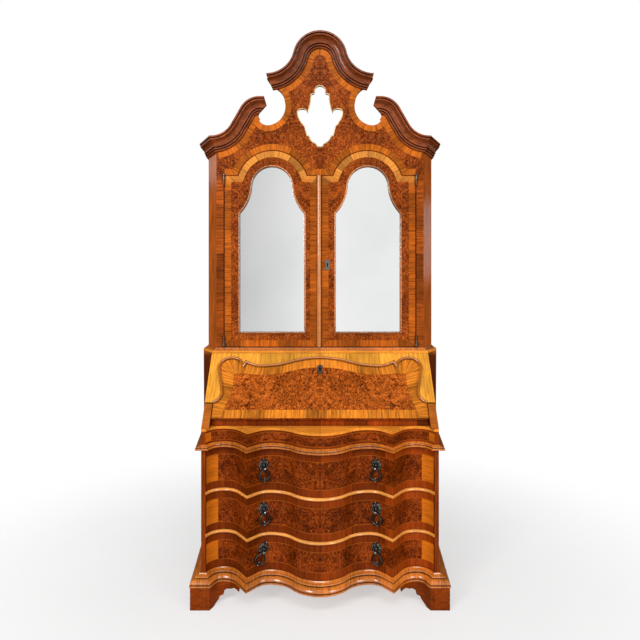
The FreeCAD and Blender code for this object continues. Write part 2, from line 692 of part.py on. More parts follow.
def build_desk():
    pin = build_fall()
    inner = KNEE_X - SIDE_WALL
    under = FALL_WALL + FALL_GAP / 3
    wires = []
    for z, edge_x, knee in ((LEDGE_TOP, STILE_OUTER_X, (KNEE_X, KNEE_Y)),
                            (DESK_TOP_Z, FALL_SIDE_X, (DESK_KNEE_X, DESK_KNEE_Y))):
        y = slope_y(z, under)
        points = [(STILE_INNER_X, y), (edge_x, y), knee, (knee[0], REAR_Y), (inner, REAR_Y), (inner, knee[1])]
        wires.append(Part.makePolygon([V(a, b, z) for a, b in points + points[:1]]))
    side = stack(wires)
    cheek_x = STILE_OUTER_X - CHEEK_W
    corners = [V(cheek_x, STILE_Y, LEDGE_TOP), slope(cheek_x, 0, 0), slope(cheek_x, CHEEK_L, 0),
               slope(cheek_x, CHEEK_L, under), V(cheek_x, slope_y(LEDGE_TOP, under), LEDGE_TOP)]
    block = Part.Face(Part.makePolygon(corners + corners[:1])).extrude(V(CHEEK_W, 0, 0)).cut(pin)
    for name, sign in (("left", -1), ("right", 1)):
        solids = [side, block] if sign > 0 else [mirrored(side), mirrored(block)]
        save("desk_side_" + name, *solids)
    rail_y = pivot_axis(0).y + PIVOT_INSET * math.sqrt(2) + RAIL_GAP
    bed_z = LEDGE_TOP + BED_H
    rail_half = cheek_x - RUN_GAP
    save("hinge_rail", box(-rail_half, rail_half, rail_y, rail_y + RAIL_WALL, LEDGE_TOP, bed_z))
    bed = prism([(-STILE_INNER_X, rail_y + RAIL_WALL), (STILE_INNER_X, rail_y + RAIL_WALL),
                 (STILE_INNER_X, BACK_INNER_Y), (-STILE_INNER_X, BACK_INNER_Y)], bed_z - BED_WALL, bed_z)
    save("writing_bed", bed)
    half = STILE_INNER_X
    shelf_z = bed_z + PIGEON_SHELF_H
    pieces = [box(-half, half, PIGEON_FRONT_Y, BACK_INNER_Y, shelf_z, shelf_z + PIGEON_WALL)]
    pitch = (2 * half - PIGEON_WALL) / PIGEON_BAYS
    for low, high in ((bed_z, shelf_z), (shelf_z + PIGEON_WALL, DESK_TOP_Z)):
        for step in range(PIGEON_BAYS + 1):
            x = step * pitch - half
            pieces.append(box(x, x + PIGEON_WALL, PIGEON_FRONT_Y, BACK_INNER_Y, low, high))
    save("pigeonholes", *pieces)
    top_y = STILE_Y + SLOPE_RUN
    top = prism([(-FALL_SIDE_X, top_y), (FALL_SIDE_X, top_y), (DESK_KNEE_X, DESK_KNEE_Y),
                 (DESK_KNEE_X, REAR_Y), (-DESK_KNEE_X, REAR_Y), (-DESK_KNEE_X, DESK_KNEE_Y)],
                DESK_TOP_Z, DESK_TOP_Z + DESK_TOP_H)
    save("desk_top", top)


def corner_vector():
    """Shift of the upper cabinet's front corner for a moulding that stands out by one."""
    run = CORNER_X - FACE_X
    rise = CORNER_Y - FACE_Y
    length = math.hypot(run, rise)
    normal = (rise / length, -run / length)
    share = 1 - normal[1]
    return normal[0] / share, -1.0


def knee_vector():
    """Shift of the rear corner of the splay for a moulding that stands out by one."""
    run = CORNER_X - FACE_X
    rise = CORNER_Y - FACE_Y
    length = math.hypot(run, rise)
    normal = (rise / length, -run / length)
    share = 1 + normal[0]
    return 1.0, normal[1] / share


def upper_corners(reach):
    """Right side of the upper cabinet's plan with a moulding of the given reach."""
    turn = corner_vector()
    knee = knee_vector()
    return [(FACE_X + turn[0] * reach, FACE_Y + turn[1] * reach),
            (CORNER_X + knee[0] * reach, CORNER_Y + knee[1] * reach), (CORNER_X + knee[0] * reach, REAR_Y)]


def closed(points, z):
    return Part.makePolygon([V(x, y, z) for x, y in points + points[:1]])


def cabinet_moulding():
    wires = []
    low = DESK_TOP_Z + DESK_TOP_H
    for share, reach in ((0.0, 1.0), (0.3, 1.0), (0.45, 0.8), (0.7, 0.55), (0.8, 0.3), (1.0, 0.3)):
        right = upper_corners(reach * CABINET_MOULD_REACH)
        left = [(-x, y) for x, y in reversed(right)]
        wires.append(closed(right + left, low + share * CABINET_MOULD_H))
    return stack(wires)


def upper_inner(y_front, y_rear):
    """Plan of a board between the upper side walls."""
    inner = CORNER_X - UPPER_WALL
    slant = (inner - FACE_X) / (CORNER_Y - FACE_Y - FACE_WALL)
    front_x = min(inner, FACE_X + (y_front - FACE_Y - FACE_WALL) * slant)
    right = [(front_x, y_front), (inner, CORNER_Y), (inner, y_rear)]
    return right + [(-x, y) for x, y in reversed(right)]


def build_upper():
    inner = CORNER_X - UPPER_WALL
    face_back = FACE_Y + FACE_WALL
    side = prism([(FACE_X, FACE_Y), (CORNER_X, CORNER_Y), (CORNER_X, REAR_Y), (inner, REAR_Y),
                  (inner, CORNER_Y),
                  (FACE_X, face_back)], CABINET_Z, UPPER_TOP + PARAPET_H)
    save("upper_side_left", mirrored(side))
    save("upper_side_right", side)
    save("upper_back", box(-inner, inner, BACK_INNER_Y, REAR_Y, CABINET_Z, UPPER_TOP))
    save("upper_bottom", prism(upper_inner(face_back, BACK_INNER_Y), CABINET_Z, CABINET_Z + UPPER_WALL))
    save("upper_top", prism(upper_inner(face_back, BACK_INNER_Y), UPPER_TOP - UPPER_WALL, UPPER_TOP))
    shelves = []
    spacing = (UPPER_TOP - CABINET_Z) / (SHELF_COUNT + 1)
    for step in range(SHELF_COUNT):
        z = CABINET_Z + spacing * (step + 1)
        shelves.append(prism(upper_inner(face_back + SHELF_FRONT_GAP, BACK_INNER_Y), z, z + SHELF_WALL))
    save("shelves", *shelves)
    save("cabinet_moulding", cabinet_moulding())
    strip = box(PIVOT_X + DOOR_GAP, FACE_X, FACE_Y, face_back, CABINET_Z, SHOULDER_Z + DOOR_GAP)
    save("pilasters", strip, mirrored(strip))


def face_solid(spans, y_low, y_high):
    """Solid over an upright outline of (start, middle or None, end) spans of (x, z)."""
    edges = []
    for first, middle, last in spans:
        ends = V(first[0], y_low, first[1]), V(last[0], y_low, last[1])
        if middle is None:
            edges.append(line(*ends))
        else:
            edges.append(arc(ends[0], V(middle[0], y_low, middle[1]), ends[1]))
    return Part.Face(Part.Wire(edges)).extrude(V(0, y_high - y_low, 0))


def mirror_spans():
    """Mirror opening about x = 0: straight sides, hollow shoulders and a round head."""
    wide = MIRROR_HALF
    neck = MIRROR_NECK_HALF
    shoulder = (neck + 0.38 * (wide - neck), MIRROR_SHOULDER_Z + 0.4 * (MIRROR_NECK_Z - MIRROR_SHOULDER_Z))
    right = [((0, MIRROR_LOW_Z), None, (wide, MIRROR_LOW_Z)),
             ((wide, MIRROR_LOW_Z), None, (wide, MIRROR_SHOULDER_Z)),
             ((wide, MIRROR_SHOULDER_Z), shoulder, (neck, MIRROR_NECK_Z)),
             ((neck, MIRROR_NECK_Z), (neck * math.sqrt(0.5), MIRROR_NECK_Z + neck * math.sqrt(0.5)),
              (0, MIRROR_NECK_Z + neck))]
    return both_halves(right)


def door_solid(x_hinge, x_meet, grow, y_low, y_high):
    """Arched door leaf, grown all round by grow; x_hinge is the outer edge of the right-hand leaf."""
    low = CABINET_Z + DOOR_LIFT - grow
    high = SHOULDER_Z + grow
    spans = [((x_meet - grow, low), None, (x_hinge + grow, low)),
             ((x_hinge + grow, low), None, (x_hinge + grow, high)),
             ((x_hinge + grow, high), None, (ARCH_X + ARCH_HALF + grow, high)),
             ((ARCH_X + ARCH_HALF + grow, high), (ARCH_X, high + ARCH_RISE), (ARCH_X - ARCH_HALF - grow, high)),
             ((ARCH_X - ARCH_HALF - grow, high), None, (x_meet - grow, high)),
             ((x_meet - grow, high), None, (x_meet - grow, low))]
    return face_solid(spans, y_low, y_high)


def turned_pin(pin_top):
    """Ball, fixed knuckle and pin turned in one piece about the Z axis."""
    neck_z = math.sqrt(BALL_R ** 2 - HINGE_R ** 2)
    shoulder = BALL_R + KNUCKLE_FIXED_L
    corners = [V(HINGE_R, 0, neck_z), V(HINGE_R, 0, shoulder), V(HINGE_PIN_R, 0, shoulder),
               V(HINGE_PIN_R, 0, pin_top),
               V(0, 0, pin_top), V(0, 0, -BALL_R)]
    edges = [line(first, last) for first, last in zip(corners, corners[1:])]
    edges.append(arc(V(0, 0, -BALL_R), V(BALL_R, 0, 0), V(HINGE_R, 0, neck_z)))
    return Part.Face(Part.Wire(edges)).revolve(V(0, 0, 0), V(0, 0, 1), 360)


def hinge(door_high):
    """Door leaf and knuckle, and the fixed pin with its ball; door_high marks the upper hinge."""
    axis_y = FACE_Y - PIVOT_PROUD
    leaf_low = BALL_R + KNUCKLE_FIXED_L + RUN_GAP
    knuckle = Part.makeCylinder(HINGE_R, KNUCKLE_L, V(PIVOT_X, axis_y, leaf_low))
    pin_top = leaf_low + KNUCKLE_L
    fixed = turned_pin(pin_top)
    fixed.translate(V(PIVOT_X, axis_y, 0))
    lug_x = PIVOT_X + DOOR_GAP
    lug = box(lug_x - LUG_WALL, lug_x, axis_y, FACE_Y + FACE_WALL / 2, BALL_R, BALL_R + KNUCKLE_FIXED_L)
    fixed = fixed.fuse(lug)
    bore = Part.makeCylinder(HINGE_PIN_R + PIVOT_FIT, 2 * pin_top, V(PIVOT_X, axis_y, 0))
    leaf = box(PIVOT_X - LEAF_W, PIVOT_X - DOOR_GAP, FACE_Y, FACE_Y + LEAF_WALL, leaf_low,
               leaf_low + KNUCKLE_L)
    web = box(PIVOT_X - HINGE_R, PIVOT_X - DOOR_GAP, axis_y, FACE_Y, leaf_low, leaf_low + KNUCKLE_L)
    knuckle = knuckle.fuse([leaf, web]).cut(bore)
    if door_high:
        pair = [shape.mirror(V(0, 0, 0), V(0, 0, 1)) for shape in (fixed, knuckle)]
        height = SHOULDER_Z
    else:
        pair = [fixed, knuckle]
        height = CABINET_Z + DOOR_LIFT + BALL_R
    for shape in pair:
        shape.translate(V(0, 0, height))
    return pair


def build_doors():
    outer = PIVOT_X - DOOR_GAP
    y_low = FACE_Y
    y_high = FACE_Y + DOOR_WALL
    opening = face_solid(mirror_spans(), y_low - 1, y_high + 1)
    opening.translate(V(MIRROR_X, 0, 0))
    glass = face_solid(mirror_spans(), y_low + MIRROR_SINK, y_low + MIRROR_SINK + MIRROR_WALL)
    glass.translate(V(MIRROR_X, 0, 0))
    half = MIRROR_HALF + MIRROR_LAP
    neck = MIRROR_NECK_HALF + MIRROR_LAP
    low = MIRROR_LOW_Z - MIRROR_LAP
    high = MIRROR_NECK_Z + neck
    right = [((0, low), None, (half, low)), ((half, low), None, (half, MIRROR_SHOULDER_Z)),
             ((half, MIRROR_SHOULDER_Z), None, (neck, MIRROR_NECK_Z)),
             ((neck, MIRROR_NECK_Z), None, (neck, high)),
             ((neck, high), None, (0, high))]
    panel = face_solid(both_halves(right), y_high, y_high + DOOR_BACK_WALL)
    panel.translate(V(MIRROR_X, 0, 0))
    lock_x = DOOR_LOCK_X - LOCK_W / 2
    lock_z = DOOR_LOCK_Z - LOCK_H / 2
    lock = box(lock_x, lock_x + LOCK_W, y_high - LOCK_WALL, y_high, lock_z, lock_z + LOCK_H)
    fixed_hinges = []
    for name, sign in (("left", -1), ("right", 1)):
        meet = MEET_X * sign + DOOR_GAP / 2
        frame = door_solid(outer, meet, 0, y_low, y_high).cut(opening)
        if sign > 0:
            frame = frame.cut(lock)
        inside = MIRROR_X - MIRROR_HALF
        outside = MIRROR_X + MIRROR_HALF
        split = (MIRROR_LOW_Z + MIRROR_SHOULDER_Z) / 2
        regions = [box(outside, outer, y_low, y_high, 0, APEX_Z), box(meet, inside, y_low, y_high, 0, APEX_Z),
                   box(inside, outside, y_low, y_high, 0, split),
                   box(inside, outside, y_low, y_high, split, APEX_Z)]
        hinges = []
        for door_high in (False, True):
            fixed, knuckle = hinge(door_high)
            hinges.append(knuckle)
            fixed_hinges.append(fixed if sign > 0 else mirrored(fixed))
        frame = frame.cut(hinges)
        solids = [frame.common(region) for region in regions]
        parts = {"frame": solids, "mirror": [glass], "back": [panel], "hinges": hinges}
        for part, shapes in parts.items():
            save("door_" + name + "_" + part, *[s if sign > 0 else mirrored(s) for s in shapes])
    save("door_pivots", *fixed_hinges)
    save("door_lock", lock)
    bead_x = MEET_X - DOOR_GAP / 2
    middle = bead_x - ASTRAGAL_W / 2
    foot = CABINET_Z + DOOR_LIFT
    bead_ends = V(bead_x - ASTRAGAL_W, FACE_Y, foot), V(bead_x, FACE_Y, foot)
    bead_round = arc(bead_ends[0], V(middle, FACE_Y - ASTRAGAL_PROUD, foot), bead_ends[1])
    bead = Part.Face(Part.Wire([bead_round, line(bead_ends[1], bead_ends[0])]))
    save("door_astragal", bead.extrude(V(0, 0, SHOULDER_Z - foot)))
    plate = escutcheon()
    plate.translate(V(DOOR_LOCK_X, FACE_Y, DOOR_LOCK_Z))
    save("door_escutcheon", plate)


def crown_spans(inset):
    """Right half of the crown's line, inset from its top edge, from the apex to the tip."""
    drop = APEX_Z - CROWN_TIP_Z
    radii = (CROWN_TIP_X ** 2 + drop ** 2) / (2 * drop)
    swing = math.asin(CROWN_TIP_X / radii)
    tail = radii - CROWN_RADIUS + inset
    head = CROWN_RADIUS - inset
    spots = []
    for turn in (0, swing / 2, swing):
        spots.append((head * math.sin(turn), APEX_Z - CROWN_RADIUS + head * math.cos(turn)))
    for turn in (swing / 2, 0):
        spots.append((CROWN_TIP_X - tail * math.sin(turn), CROWN_TIP_Z - inset + tail * (1 - math.cos(turn))))
    return [tuple(spots[0:3]), tuple(spots[2:5])]


def scroll_spans(inset, x_start, x_end):
    """The right scroll's line, inset from its top edge, from the inner end to the corner."""
    drop = SCROLL_Z - UPPER_TOP - RETURN_RISE
    radii = SCROLL_RADIUS + SCROLL_TAIL_RADIUS
    straight = math.sqrt(SCROLL_RUN ** 2 + drop ** 2 - 2 * radii * drop)
    turn = math.atan2(SCROLL_RUN, radii - drop) - math.atan2(straight, radii)
    head = SCROLL_RADIUS - inset
    tail = SCROLL_TAIL_RADIUS + inset
    x = SCROLL_X + SCROLL_FLAT
    z = SCROLL_Z - inset
    first = [(x + head * math.sin(a), z - head * (1 - math.cos(a))) for a in (0, turn / 2, turn)]
    along = (first[2][0] + straight * math.cos(turn), first[2][1] - straight * math.sin(turn))
    low = (along[0] + tail * math.sin(turn), along[1] - tail * (1 - math.cos(turn)))
    mid = (low[0] - tail * math.sin(turn / 2), low[1] + tail * (1 - math.cos(turn / 2)))
    return [((x_start, z), None, first[0]), tuple(first), (first[2], None, along), (along, mid, low),
            (low, None, (x_end, low[1]))]


def raised(spans):
    """Spans of (x, share of the pediment's rise) as (x, z)."""
    return [tuple(spot and (spot[0], UPPER_TOP + spot[1] * PEDIMENT_RISE) for spot in span) for span in spans]


def cornice_profile():
    """Cornice section as (distance in from the top edge, reach in front of the board)."""
    shares = [(0.0, 1.0), (0.1, 1.0), (0.11, 0.8), (0.16, 0.8), (0.18, 0.92), (0.26, 0.9),
              (0.27, 0.68), (0.32, 0.68)]
    for step in range(1, COVE_STEPS + 1):
        turn = math.pi / 2 * step / COVE_STEPS
        shares.append((0.32 + 0.28 * (1 - math.cos(turn)), 0.68 - 0.32 * math.sin(turn)))
    shares += [(0.61, 0.48), (0.68, 0.46), (0.69, 0.26), (0.75, 0.26), (0.77, 0.38), (0.83, 0.36),
               (0.84, 0.16), (0.89, 0.16), (0.91, 0.26), (0.96, 0.24), (1.0, 0.12)]
    return [(w * CORNICE_W, p * CORNICE_REACH) for w, p in shares]


def sweep_cornice(spans, start):
    """Carry the cornice section along a line that sets off level from start."""
    edges = []
    for first, middle, last in spans:
        ends = V(first[0], FACE_Y, first[1]), V(last[0], FACE_Y, last[1])
        if middle is None:
            edges.append(line(*ends))
        else:
            edges.append(arc(ends[0], V(middle[0], FACE_Y, middle[1]), ends[1]))
    profile = [(0.0, 0.0)] + cornice_profile() + [(CORNICE_W, 0.0)]
    corners = [V(start[0], FACE_Y - p, start[1] - w) for w, p in profile]
    section = Part.makePolygon(corners + corners[:1])
    return Part.Wire(edges).makePipeShell([section], True, False)


def end_cut(points):
    """Wedge that trims a cornice end, over an upright outline of (x, z) points."""
    return face_solid(ring_of_lines(points), FACE_Y - 2 * CORNICE_REACH, FACE_Y + CORNICE_REACH)


def build_pediment():
    face_back = FACE_Y + FACE_WALL
    right = crown_spans(0)
    left_to_right = [((-c[0], c[1]), (-b[0], b[1]), (-a[0], a[1])) for a, b, c in reversed(right)] + right
    centre = sweep_cornice(left_to_right, (-CROWN_TIP_X, CROWN_TIP_Z))
    above = CROWN_TIP_Z + CUT_PAST
    below = CROWN_TIP_Z - CORNICE_W - CUT_PAST
    wedge = end_cut([(CROWN_TIP_X, above), (CROWN_TIP_X - CROWN_END_LEAN, below),
                     (CROWN_TIP_X + CORNICE_W, below), (CROWN_TIP_X + CORNICE_W, above)])
    save("cornice_centre", centre.cut(wedge).cut(mirrored(wedge)))
    start = SCROLL_X - SCROLL_NOSE
    far = FACE_X + 2 * CORNICE_REACH
    spans = scroll_spans(0, start, far)
    scroll = sweep_cornice(spans, (start, SCROLL_Z))
    high_z = SCROLL_Z + CUT_PAST
    low_z = SCROLL_Z - CORNICE_W - CUT_PAST
    nose_z = SCROLL_Z - NOSE_SHARE * CORNICE_W
    before = start - CUT_PAST
    scroll = scroll.cut(end_cut([(before, high_z), (SCROLL_X, high_z), (start, nose_z), (before, nose_z)]))
    lean_x = start + SCROLL_END_LEAN
    scroll = scroll.cut(end_cut([(before, nose_z), (start, nose_z), (lean_x, low_z), (before, low_z)]))
    top_z = spans[-1][2][1]
    turn = corner_vector()
    far_y = FACE_Y + turn[1] * far
    beyond = [(FACE_X, FACE_Y), (FACE_X + turn[0] * far, far_y), (2 * far, far_y), (2 * far, FACE_Y)]
    scroll = scroll.cut(prism(beyond, 0, APEX_Z))
    side = return_moulding(top_z)
    save("cornice_right", scroll, side)
    save("cornice_left", mirrored(scroll), mirrored(side))
    board_top = crown_spans(BOARD_INSET)
    tail = scroll_spans(BOARD_INSET, SCROLL_X + SCROLL_NOSE, far)
    neck = raised(NECK_SPANS)
    outline = board_top + [(board_top[-1][2], None, neck[0][0])] + neck
    outline += [(neck[-1][2], None, tail[0][0])] + tail
    side_top = tail[-1][2]
    low = SHOULDER_Z
    outline += [(side_top, None, (far, low)), ((far, low), None, (0, low)), ((0, low), None, board_top[0][0])]
    half = face_solid(outline, FACE_Y, face_back).common(box(0, FACE_X, FACE_Y, face_back, 0, APEX_Z))
    pierce = raised(PIERCE_SPANS)
    foot = pierce[-1][2]
    pierce += [(foot, None, (0, foot[1])), ((0, foot[1]), None, pierce[0][0])]
    half = half.cut(face_solid(pierce, FACE_Y - 1, face_back + 1))
    doorway = door_solid(PIVOT_X - DOOR_GAP, MEET_X - DOOR_GAP, DOOR_GAP, FACE_Y - 1, face_back + 1)
    half = half.cut(doorway)
    strip = box(PIVOT_X, FACE_X, FACE_Y - 1, face_back + 1, 0, SHOULDER_Z + DOOR_GAP)
    meeting = box(-1, MEET_X + DOOR_GAP, FACE_Y - 1, face_back + 1, 0, SHOULDER_Z + DOOR_GAP)
    half = half.cut(strip).cut(meeting)
    save("pediment_board", half, mirrored(half))


def return_moulding(top_z):
    """Straight cornice along the splayed corner and the side, mitred to the scroll."""
    profile = [(0.0, 0.0)] + cornice_profile() + [(CORNICE_W, 0.0)]
    wires = []
    for spot in range(3):
        corners = []
        for inset, reach in profile:
            x, y = upper_corners(reach)[spot]
            corners.append(V(x, y, top_z - inset))
        wires.append(Part.makePolygon(corners + corners[:1]))
    return stack(wires)


os.makedirs("parts", exist_ok=True)
build_chest()
for drawer in BAYS:
    build_drawer(drawer)
    build_pulls(drawer)
build_desk()
build_upper()
build_doors()
build_pediment()
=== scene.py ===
import json
import math

import bmesh
import bpy
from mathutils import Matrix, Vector


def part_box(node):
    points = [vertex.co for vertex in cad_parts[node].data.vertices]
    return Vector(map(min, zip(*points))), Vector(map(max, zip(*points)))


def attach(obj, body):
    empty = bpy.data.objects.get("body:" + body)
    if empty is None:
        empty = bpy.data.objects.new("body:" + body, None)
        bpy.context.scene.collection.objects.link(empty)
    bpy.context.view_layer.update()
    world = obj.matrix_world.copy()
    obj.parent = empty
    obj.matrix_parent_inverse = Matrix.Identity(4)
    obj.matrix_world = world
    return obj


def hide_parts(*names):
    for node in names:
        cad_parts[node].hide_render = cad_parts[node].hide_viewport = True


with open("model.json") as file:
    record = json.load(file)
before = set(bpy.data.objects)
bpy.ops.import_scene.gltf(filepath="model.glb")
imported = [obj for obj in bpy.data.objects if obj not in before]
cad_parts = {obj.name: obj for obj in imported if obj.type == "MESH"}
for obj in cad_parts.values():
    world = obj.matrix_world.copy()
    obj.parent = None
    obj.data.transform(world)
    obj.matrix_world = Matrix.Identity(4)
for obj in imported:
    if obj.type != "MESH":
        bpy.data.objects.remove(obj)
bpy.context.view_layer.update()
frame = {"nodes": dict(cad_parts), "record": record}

NODES = frame["nodes"]
MM = 0.001
SHORTEST = 1e-9

# Camera: level, in front of the cabinet, with the photograph's framing
CAMERA_AT = (0.0, -2.467, 1.269)
PICTURE_PIXELS = 640
FOCAL_PIXELS = 563.6
HORIZON_PIXELS = -30
SENSOR = 36.0

# Face of the upper cabinet and the outlines on it, in millimetres
FACE_X = 463.0
FACE_Y = 53.0
FACE_WALL = 22.0
DOOR_OUTER_X = 427.0
DOOR_MEET_X = 8.0
ASTRAGAL_X = 14.0
DOOR_LOW_Z = 1015.0
DOOR_GAP = 2.0
SHOULDER_Z = 1781.0
DOORWAY_Z = SHOULDER_Z + DOOR_GAP
ARCH_X = 212.0
ARCH_HALF = 154.0
ARCH_TOP_Z = 1893.0
ARCH_STEPS = 28
MIRROR_X = 214.5
MIRROR_HALF = 147.5
MIRROR_LOW_Z = 1078.0
MIRROR_SHOULDER_Z = 1613.0
MIRROR_SHOULDER_STEPS = 12
MIRROR_HOLLOW_IN = 0.62
MIRROR_HOLLOW_UP = 0.4
MIRROR_NECK_HALF = 94.0
MIRROR_NECK_Z = 1730.0
MIRROR_HEAD_STEPS = 24

# Lines of the cornices and of the pierced board under them, right half
CORNICE_W = 66.0
APEX_Z = 2413.0
CROWN_R = 120.0
CROWN_TIP = (238.0, 2224.0)
CROWN_STEPS = 24
SCROLL_START = (267.0, 2123.0)
SCROLL_LEAD = 20.0
SCROLL_R = 96.0
SCROLL_TURN = math.radians(60)
SCROLL_STRAIGHT = 86.6
SCROLL_TAIL_R = 101.0
SCROLL_STEPS = 14
PIERCE_SPANS = [((0, 2186), (18, 2177), (25, 2151)), ((25, 2151), None, (42, 2145)),
                ((42, 2145), (45, 2110), (53, 2076)), ((53, 2076), None, (56, 2066)),
                ((56, 2066), (65, 2078), (81, 2081)), ((81, 2081), (98, 2075), (103, 2060)),
                ((103, 2060), (93, 2030), (71, 2001)), ((71, 2001), None, (60, 1958)),
                ((60, 1958), None, (51, 1957)), ((51, 1957), (40, 1935), (21, 1923)),
                ((21, 1923), None, (10, 1908))]
NECK_SPANS = [((212, 2178), (172, 2152), (158, 2114)), ((158, 2114), (174, 2036), (227, 2006)),
              ((227, 2006), (262, 2015), (279, 2047))]

# The fall's slope and its sunken panel, as (x, distance up the slope), right half
SLOPE_FOOT = (-201.0, 712.0)
SLOPE_RUN = 234.0
SLOPE_RISE = 278.0
SLOPE_LENGTH = math.hypot(SLOPE_RUN, SLOPE_RISE)
SLOPE_Y = SLOPE_RUN / SLOPE_LENGTH
SLOPE_Z = SLOPE_RISE / SLOPE_LENGTH
PANEL_DEPTH = 9.0
PANEL_SIDE = [((446, 118), (424, 135), (414, 165)), ((414, 165), (424, 215), (440, 280))]
PANEL_CORNER = [((440, 280), (428, 322), (385, 338)), ((385, 338), (350, 326), (333, 300)),
                ((333, 300), None, (323, 319))]
PANEL_TOP = [((323, 319), (290, 303), (259, 297)), ((259, 297), (190, 303), (130, 318)),
             ((130, 318), (65, 334), (0, 340))]
FALL_START = 50.0
NOTCH_X = 445.5

# Inner edge of the pale border round the fall's burr field, right half
FIELD_SIDE = [((404, 50), None, (399, 88)), ((399, 88), (382, 140), (372, 195)),
              ((372, 195), None, (372, 255))]
FIELD_CORNER = [((372, 255), None, (372, 262)), ((372, 262), None, (335, 265))]
FIELD_TOP = [((335, 265), (230, 257), (130, 274)), ((130, 274), (65, 289), (0, 294))]
FIELD_SIDE_STEPS = 24
FIELD_TOP_STEPS = 30

# Veneer bands and beads, in millimetres
VENEER = 0.5
OVERLAP_LIFT = 0.3
BAND_W = 27.0
EDGE_LINE = 3.0
CROWN_BAND_END_X = 180.0
LINING_W = 0.6
LINING_EDGE_W = 3.5
FALL_FOOT_H = 38.0
LIP_R = 5.5
MIRROR_BEAD_R = 4.5
BEAD_SIDES = 8
ARC_STEPS = 14
SWEEP_STEP = 32.0
MITRE_LEAST = 0.35

# Cast pulls, in millimetres: pear-shaped rings about their hinge axes, and flowers on the drawer fronts
RING_L = 46.0
RING_TOP_HALF = 8.5
RING_BELLY = 19.0
RING_FLARE = 0.8
RING_THIN = 3.0
RING_STOUT = 4.6
RING_SWELL = 1.6
RING_STEPS = 56
RING_SIDES = 12
RING_STAND_OFF = 15.0
EYE_DROP = 12.0
KNOP_SINK = 1.0
FLOWER_R = 24.0
FLOWER_RIM = 4.5
FLOWER_PETALS = 6
FLOWER_ROWS = (0.12, 0.22, 0.34, 0.46, 0.58, 0.7, 0.82, 0.92, 1.0)
FLOWER_SIDES = 72
PETAL_NOTCH = 0.16
PETAL_POWER = 0.6
PETAL_DOME = 4.5
PETAL_GROOVE = 0.65
HEART_H = 3.0
HEART_SHARE = 0.3
FLOWER_KNOP_IN = 2.0
TURNED_SIDES = 14
TURNED_LEAST_R = 0.05
BUD = [(0.0, 0.0), (1.5, 2.2), (4.5, 3.8), (8.0, 3.2), (11.0, 1.4), (12.5, 0.0)]
KNOP = [(0.0, 0.0), (1.2, 2.6), (3.6, 3.6), (6.2, 2.8), (7.5, 0.0)]

# Painted shade of the keyholes' hollows: near-black sheets about the middles of their plates, in
# millimetres
KEYHOLE_R = 4.3
KEYHOLE_UP = 3.0
KEYHOLE_LIFT = 0.9
KEYHOLE_STEPS = 16
KEY_SLOT_HALF = 2.2
KEY_SLOT_FOOT = -11.5

# Veneer of the drawer fronts and the frieze, in metres
RAIL_BAND = 0.028
END_BAND = 0.040
FRIEZE_RAIL = 0.007
FRIEZE_END = 0.016
STRING_W = 0.0022
EDGE_SOFT = 0.0006

# Wood tones
BURR = (0.185, 0.029, 0.0026)
BURR_DRAWER = (0.135, 0.018, 0.0013)
BURR_FALL = (0.27, 0.047, 0.004)
BAND_TONE = (0.41, 0.098, 0.008)
DOOR_BAND_TONE = (0.37, 0.082, 0.007)
DOOR_CROWN_TONE = (0.56, 0.205, 0.034)
END_TONE = (0.60, 0.15, 0.008)
LEDGE_TONE = (0.86, 0.285, 0.03)
PALE = (0.53, 0.16, 0.014)
STRAW = (0.64, 0.265, 0.028)
REDDISH = (0.235, 0.036, 0.003)
CORNICE_TONE = (0.20, 0.040, 0.006)
SCROLL_TONE = (0.26, 0.054, 0.009)
BASE_TONE = (0.575, 0.16, 0.018)
PILASTER_TONE = (0.25, 0.050, 0.005)
WALNUT = (0.22, 0.036, 0.003)
SHADE = (0.13, 0.026, 0.005)
PINE = (0.46, 0.27, 0.12)
BEAD_TONE = (0.86, 0.33, 0.06)
CORNER_TONE = (0.50, 0.112, 0.014)
SIDE_TONE = (0.13, 0.022, 0.003)
LINING_TONE = (0.62, 0.42, 0.22)
STRING_TONE = (0.33, 0.075, 0.006)
MIRROR_BEAD_TONE = (0.38, 0.115, 0.02)
LIP_TONE = (0.42, 0.125, 0.013)
ASTRAGAL_TONE = (0.52, 0.16, 0.016)
CHEEK_TONE = (0.40, 0.105, 0.012)

# Metals: tone in the hollows, roughness, and tone where rubbed
METALS = {
    "pewter": ((0.05, 0.046, 0.041), 0.3, (0.55, 0.52, 0.48)),
    "plate": ((0.04, 0.038, 0.036), 0.35, (0.17, 0.163, 0.152)),
    # not a metal of the cabinet: near-black painted shade laid over the keyholes
    "soot": ((0.004, 0.004, 0.004), 0.8, (0.008, 0.008, 0.008)),
    "steel": ((0.13, 0.125, 0.12), 0.3, (0.5, 0.49, 0.47)),
    "bronze": ((0.10, 0.035, 0.012), 0.45, (0.16, 0.06, 0.02)),
    "brass": ((0.32, 0.21, 0.08), 0.32, (0.72, 0.55, 0.26)),
}
PATINA_NOISE = (180.0, 5.0, 0.6)
PATINA_SHARE = 0.08
PATINA_ROUGH = (-0.1, 0.15)
RUBBED_RANGE = (0.58, 0.68)

# Silvering of the mirrors
SILVER_NOISE = (3.0, 3.0, 0.5)
SILVER_STOPS = [(0.3, (0.80, 0.81, 0.81)), (0.7, (0.88, 0.88, 0.88))]
SILVER_ROUGH = (0.03, 0.07)

# Burr figure; a noise is its scale in waves per metre, detail, roughness and distortion
NOISE_MIDDLE = 0.5
BURR_DARK = 0.12
BURR_LIGHT = 2.5
BURR_GOLD = (1.0, 1.4, 2.0)
BURR_STOPS = (0.35, 0.5, 0.67)
BURR_GROUND = (64.0, 5.0, 0.6, 1.6)
BURR_CLOUD = (8.0, 3.0, 0.5, 0.6)
BURR_CLOUD_SHARE = 0.35
BURR_VEINS = (78.0, 2.0, 0.5, 2.3)
BURR_VEIN_W = 0.05
BURR_VEIN_SHARE = 0.7
BURR_EYES = 90.0
BURR_EYE_RANGE = (0.12, 0.3)
BURR_EYE_SHARE = 0.7

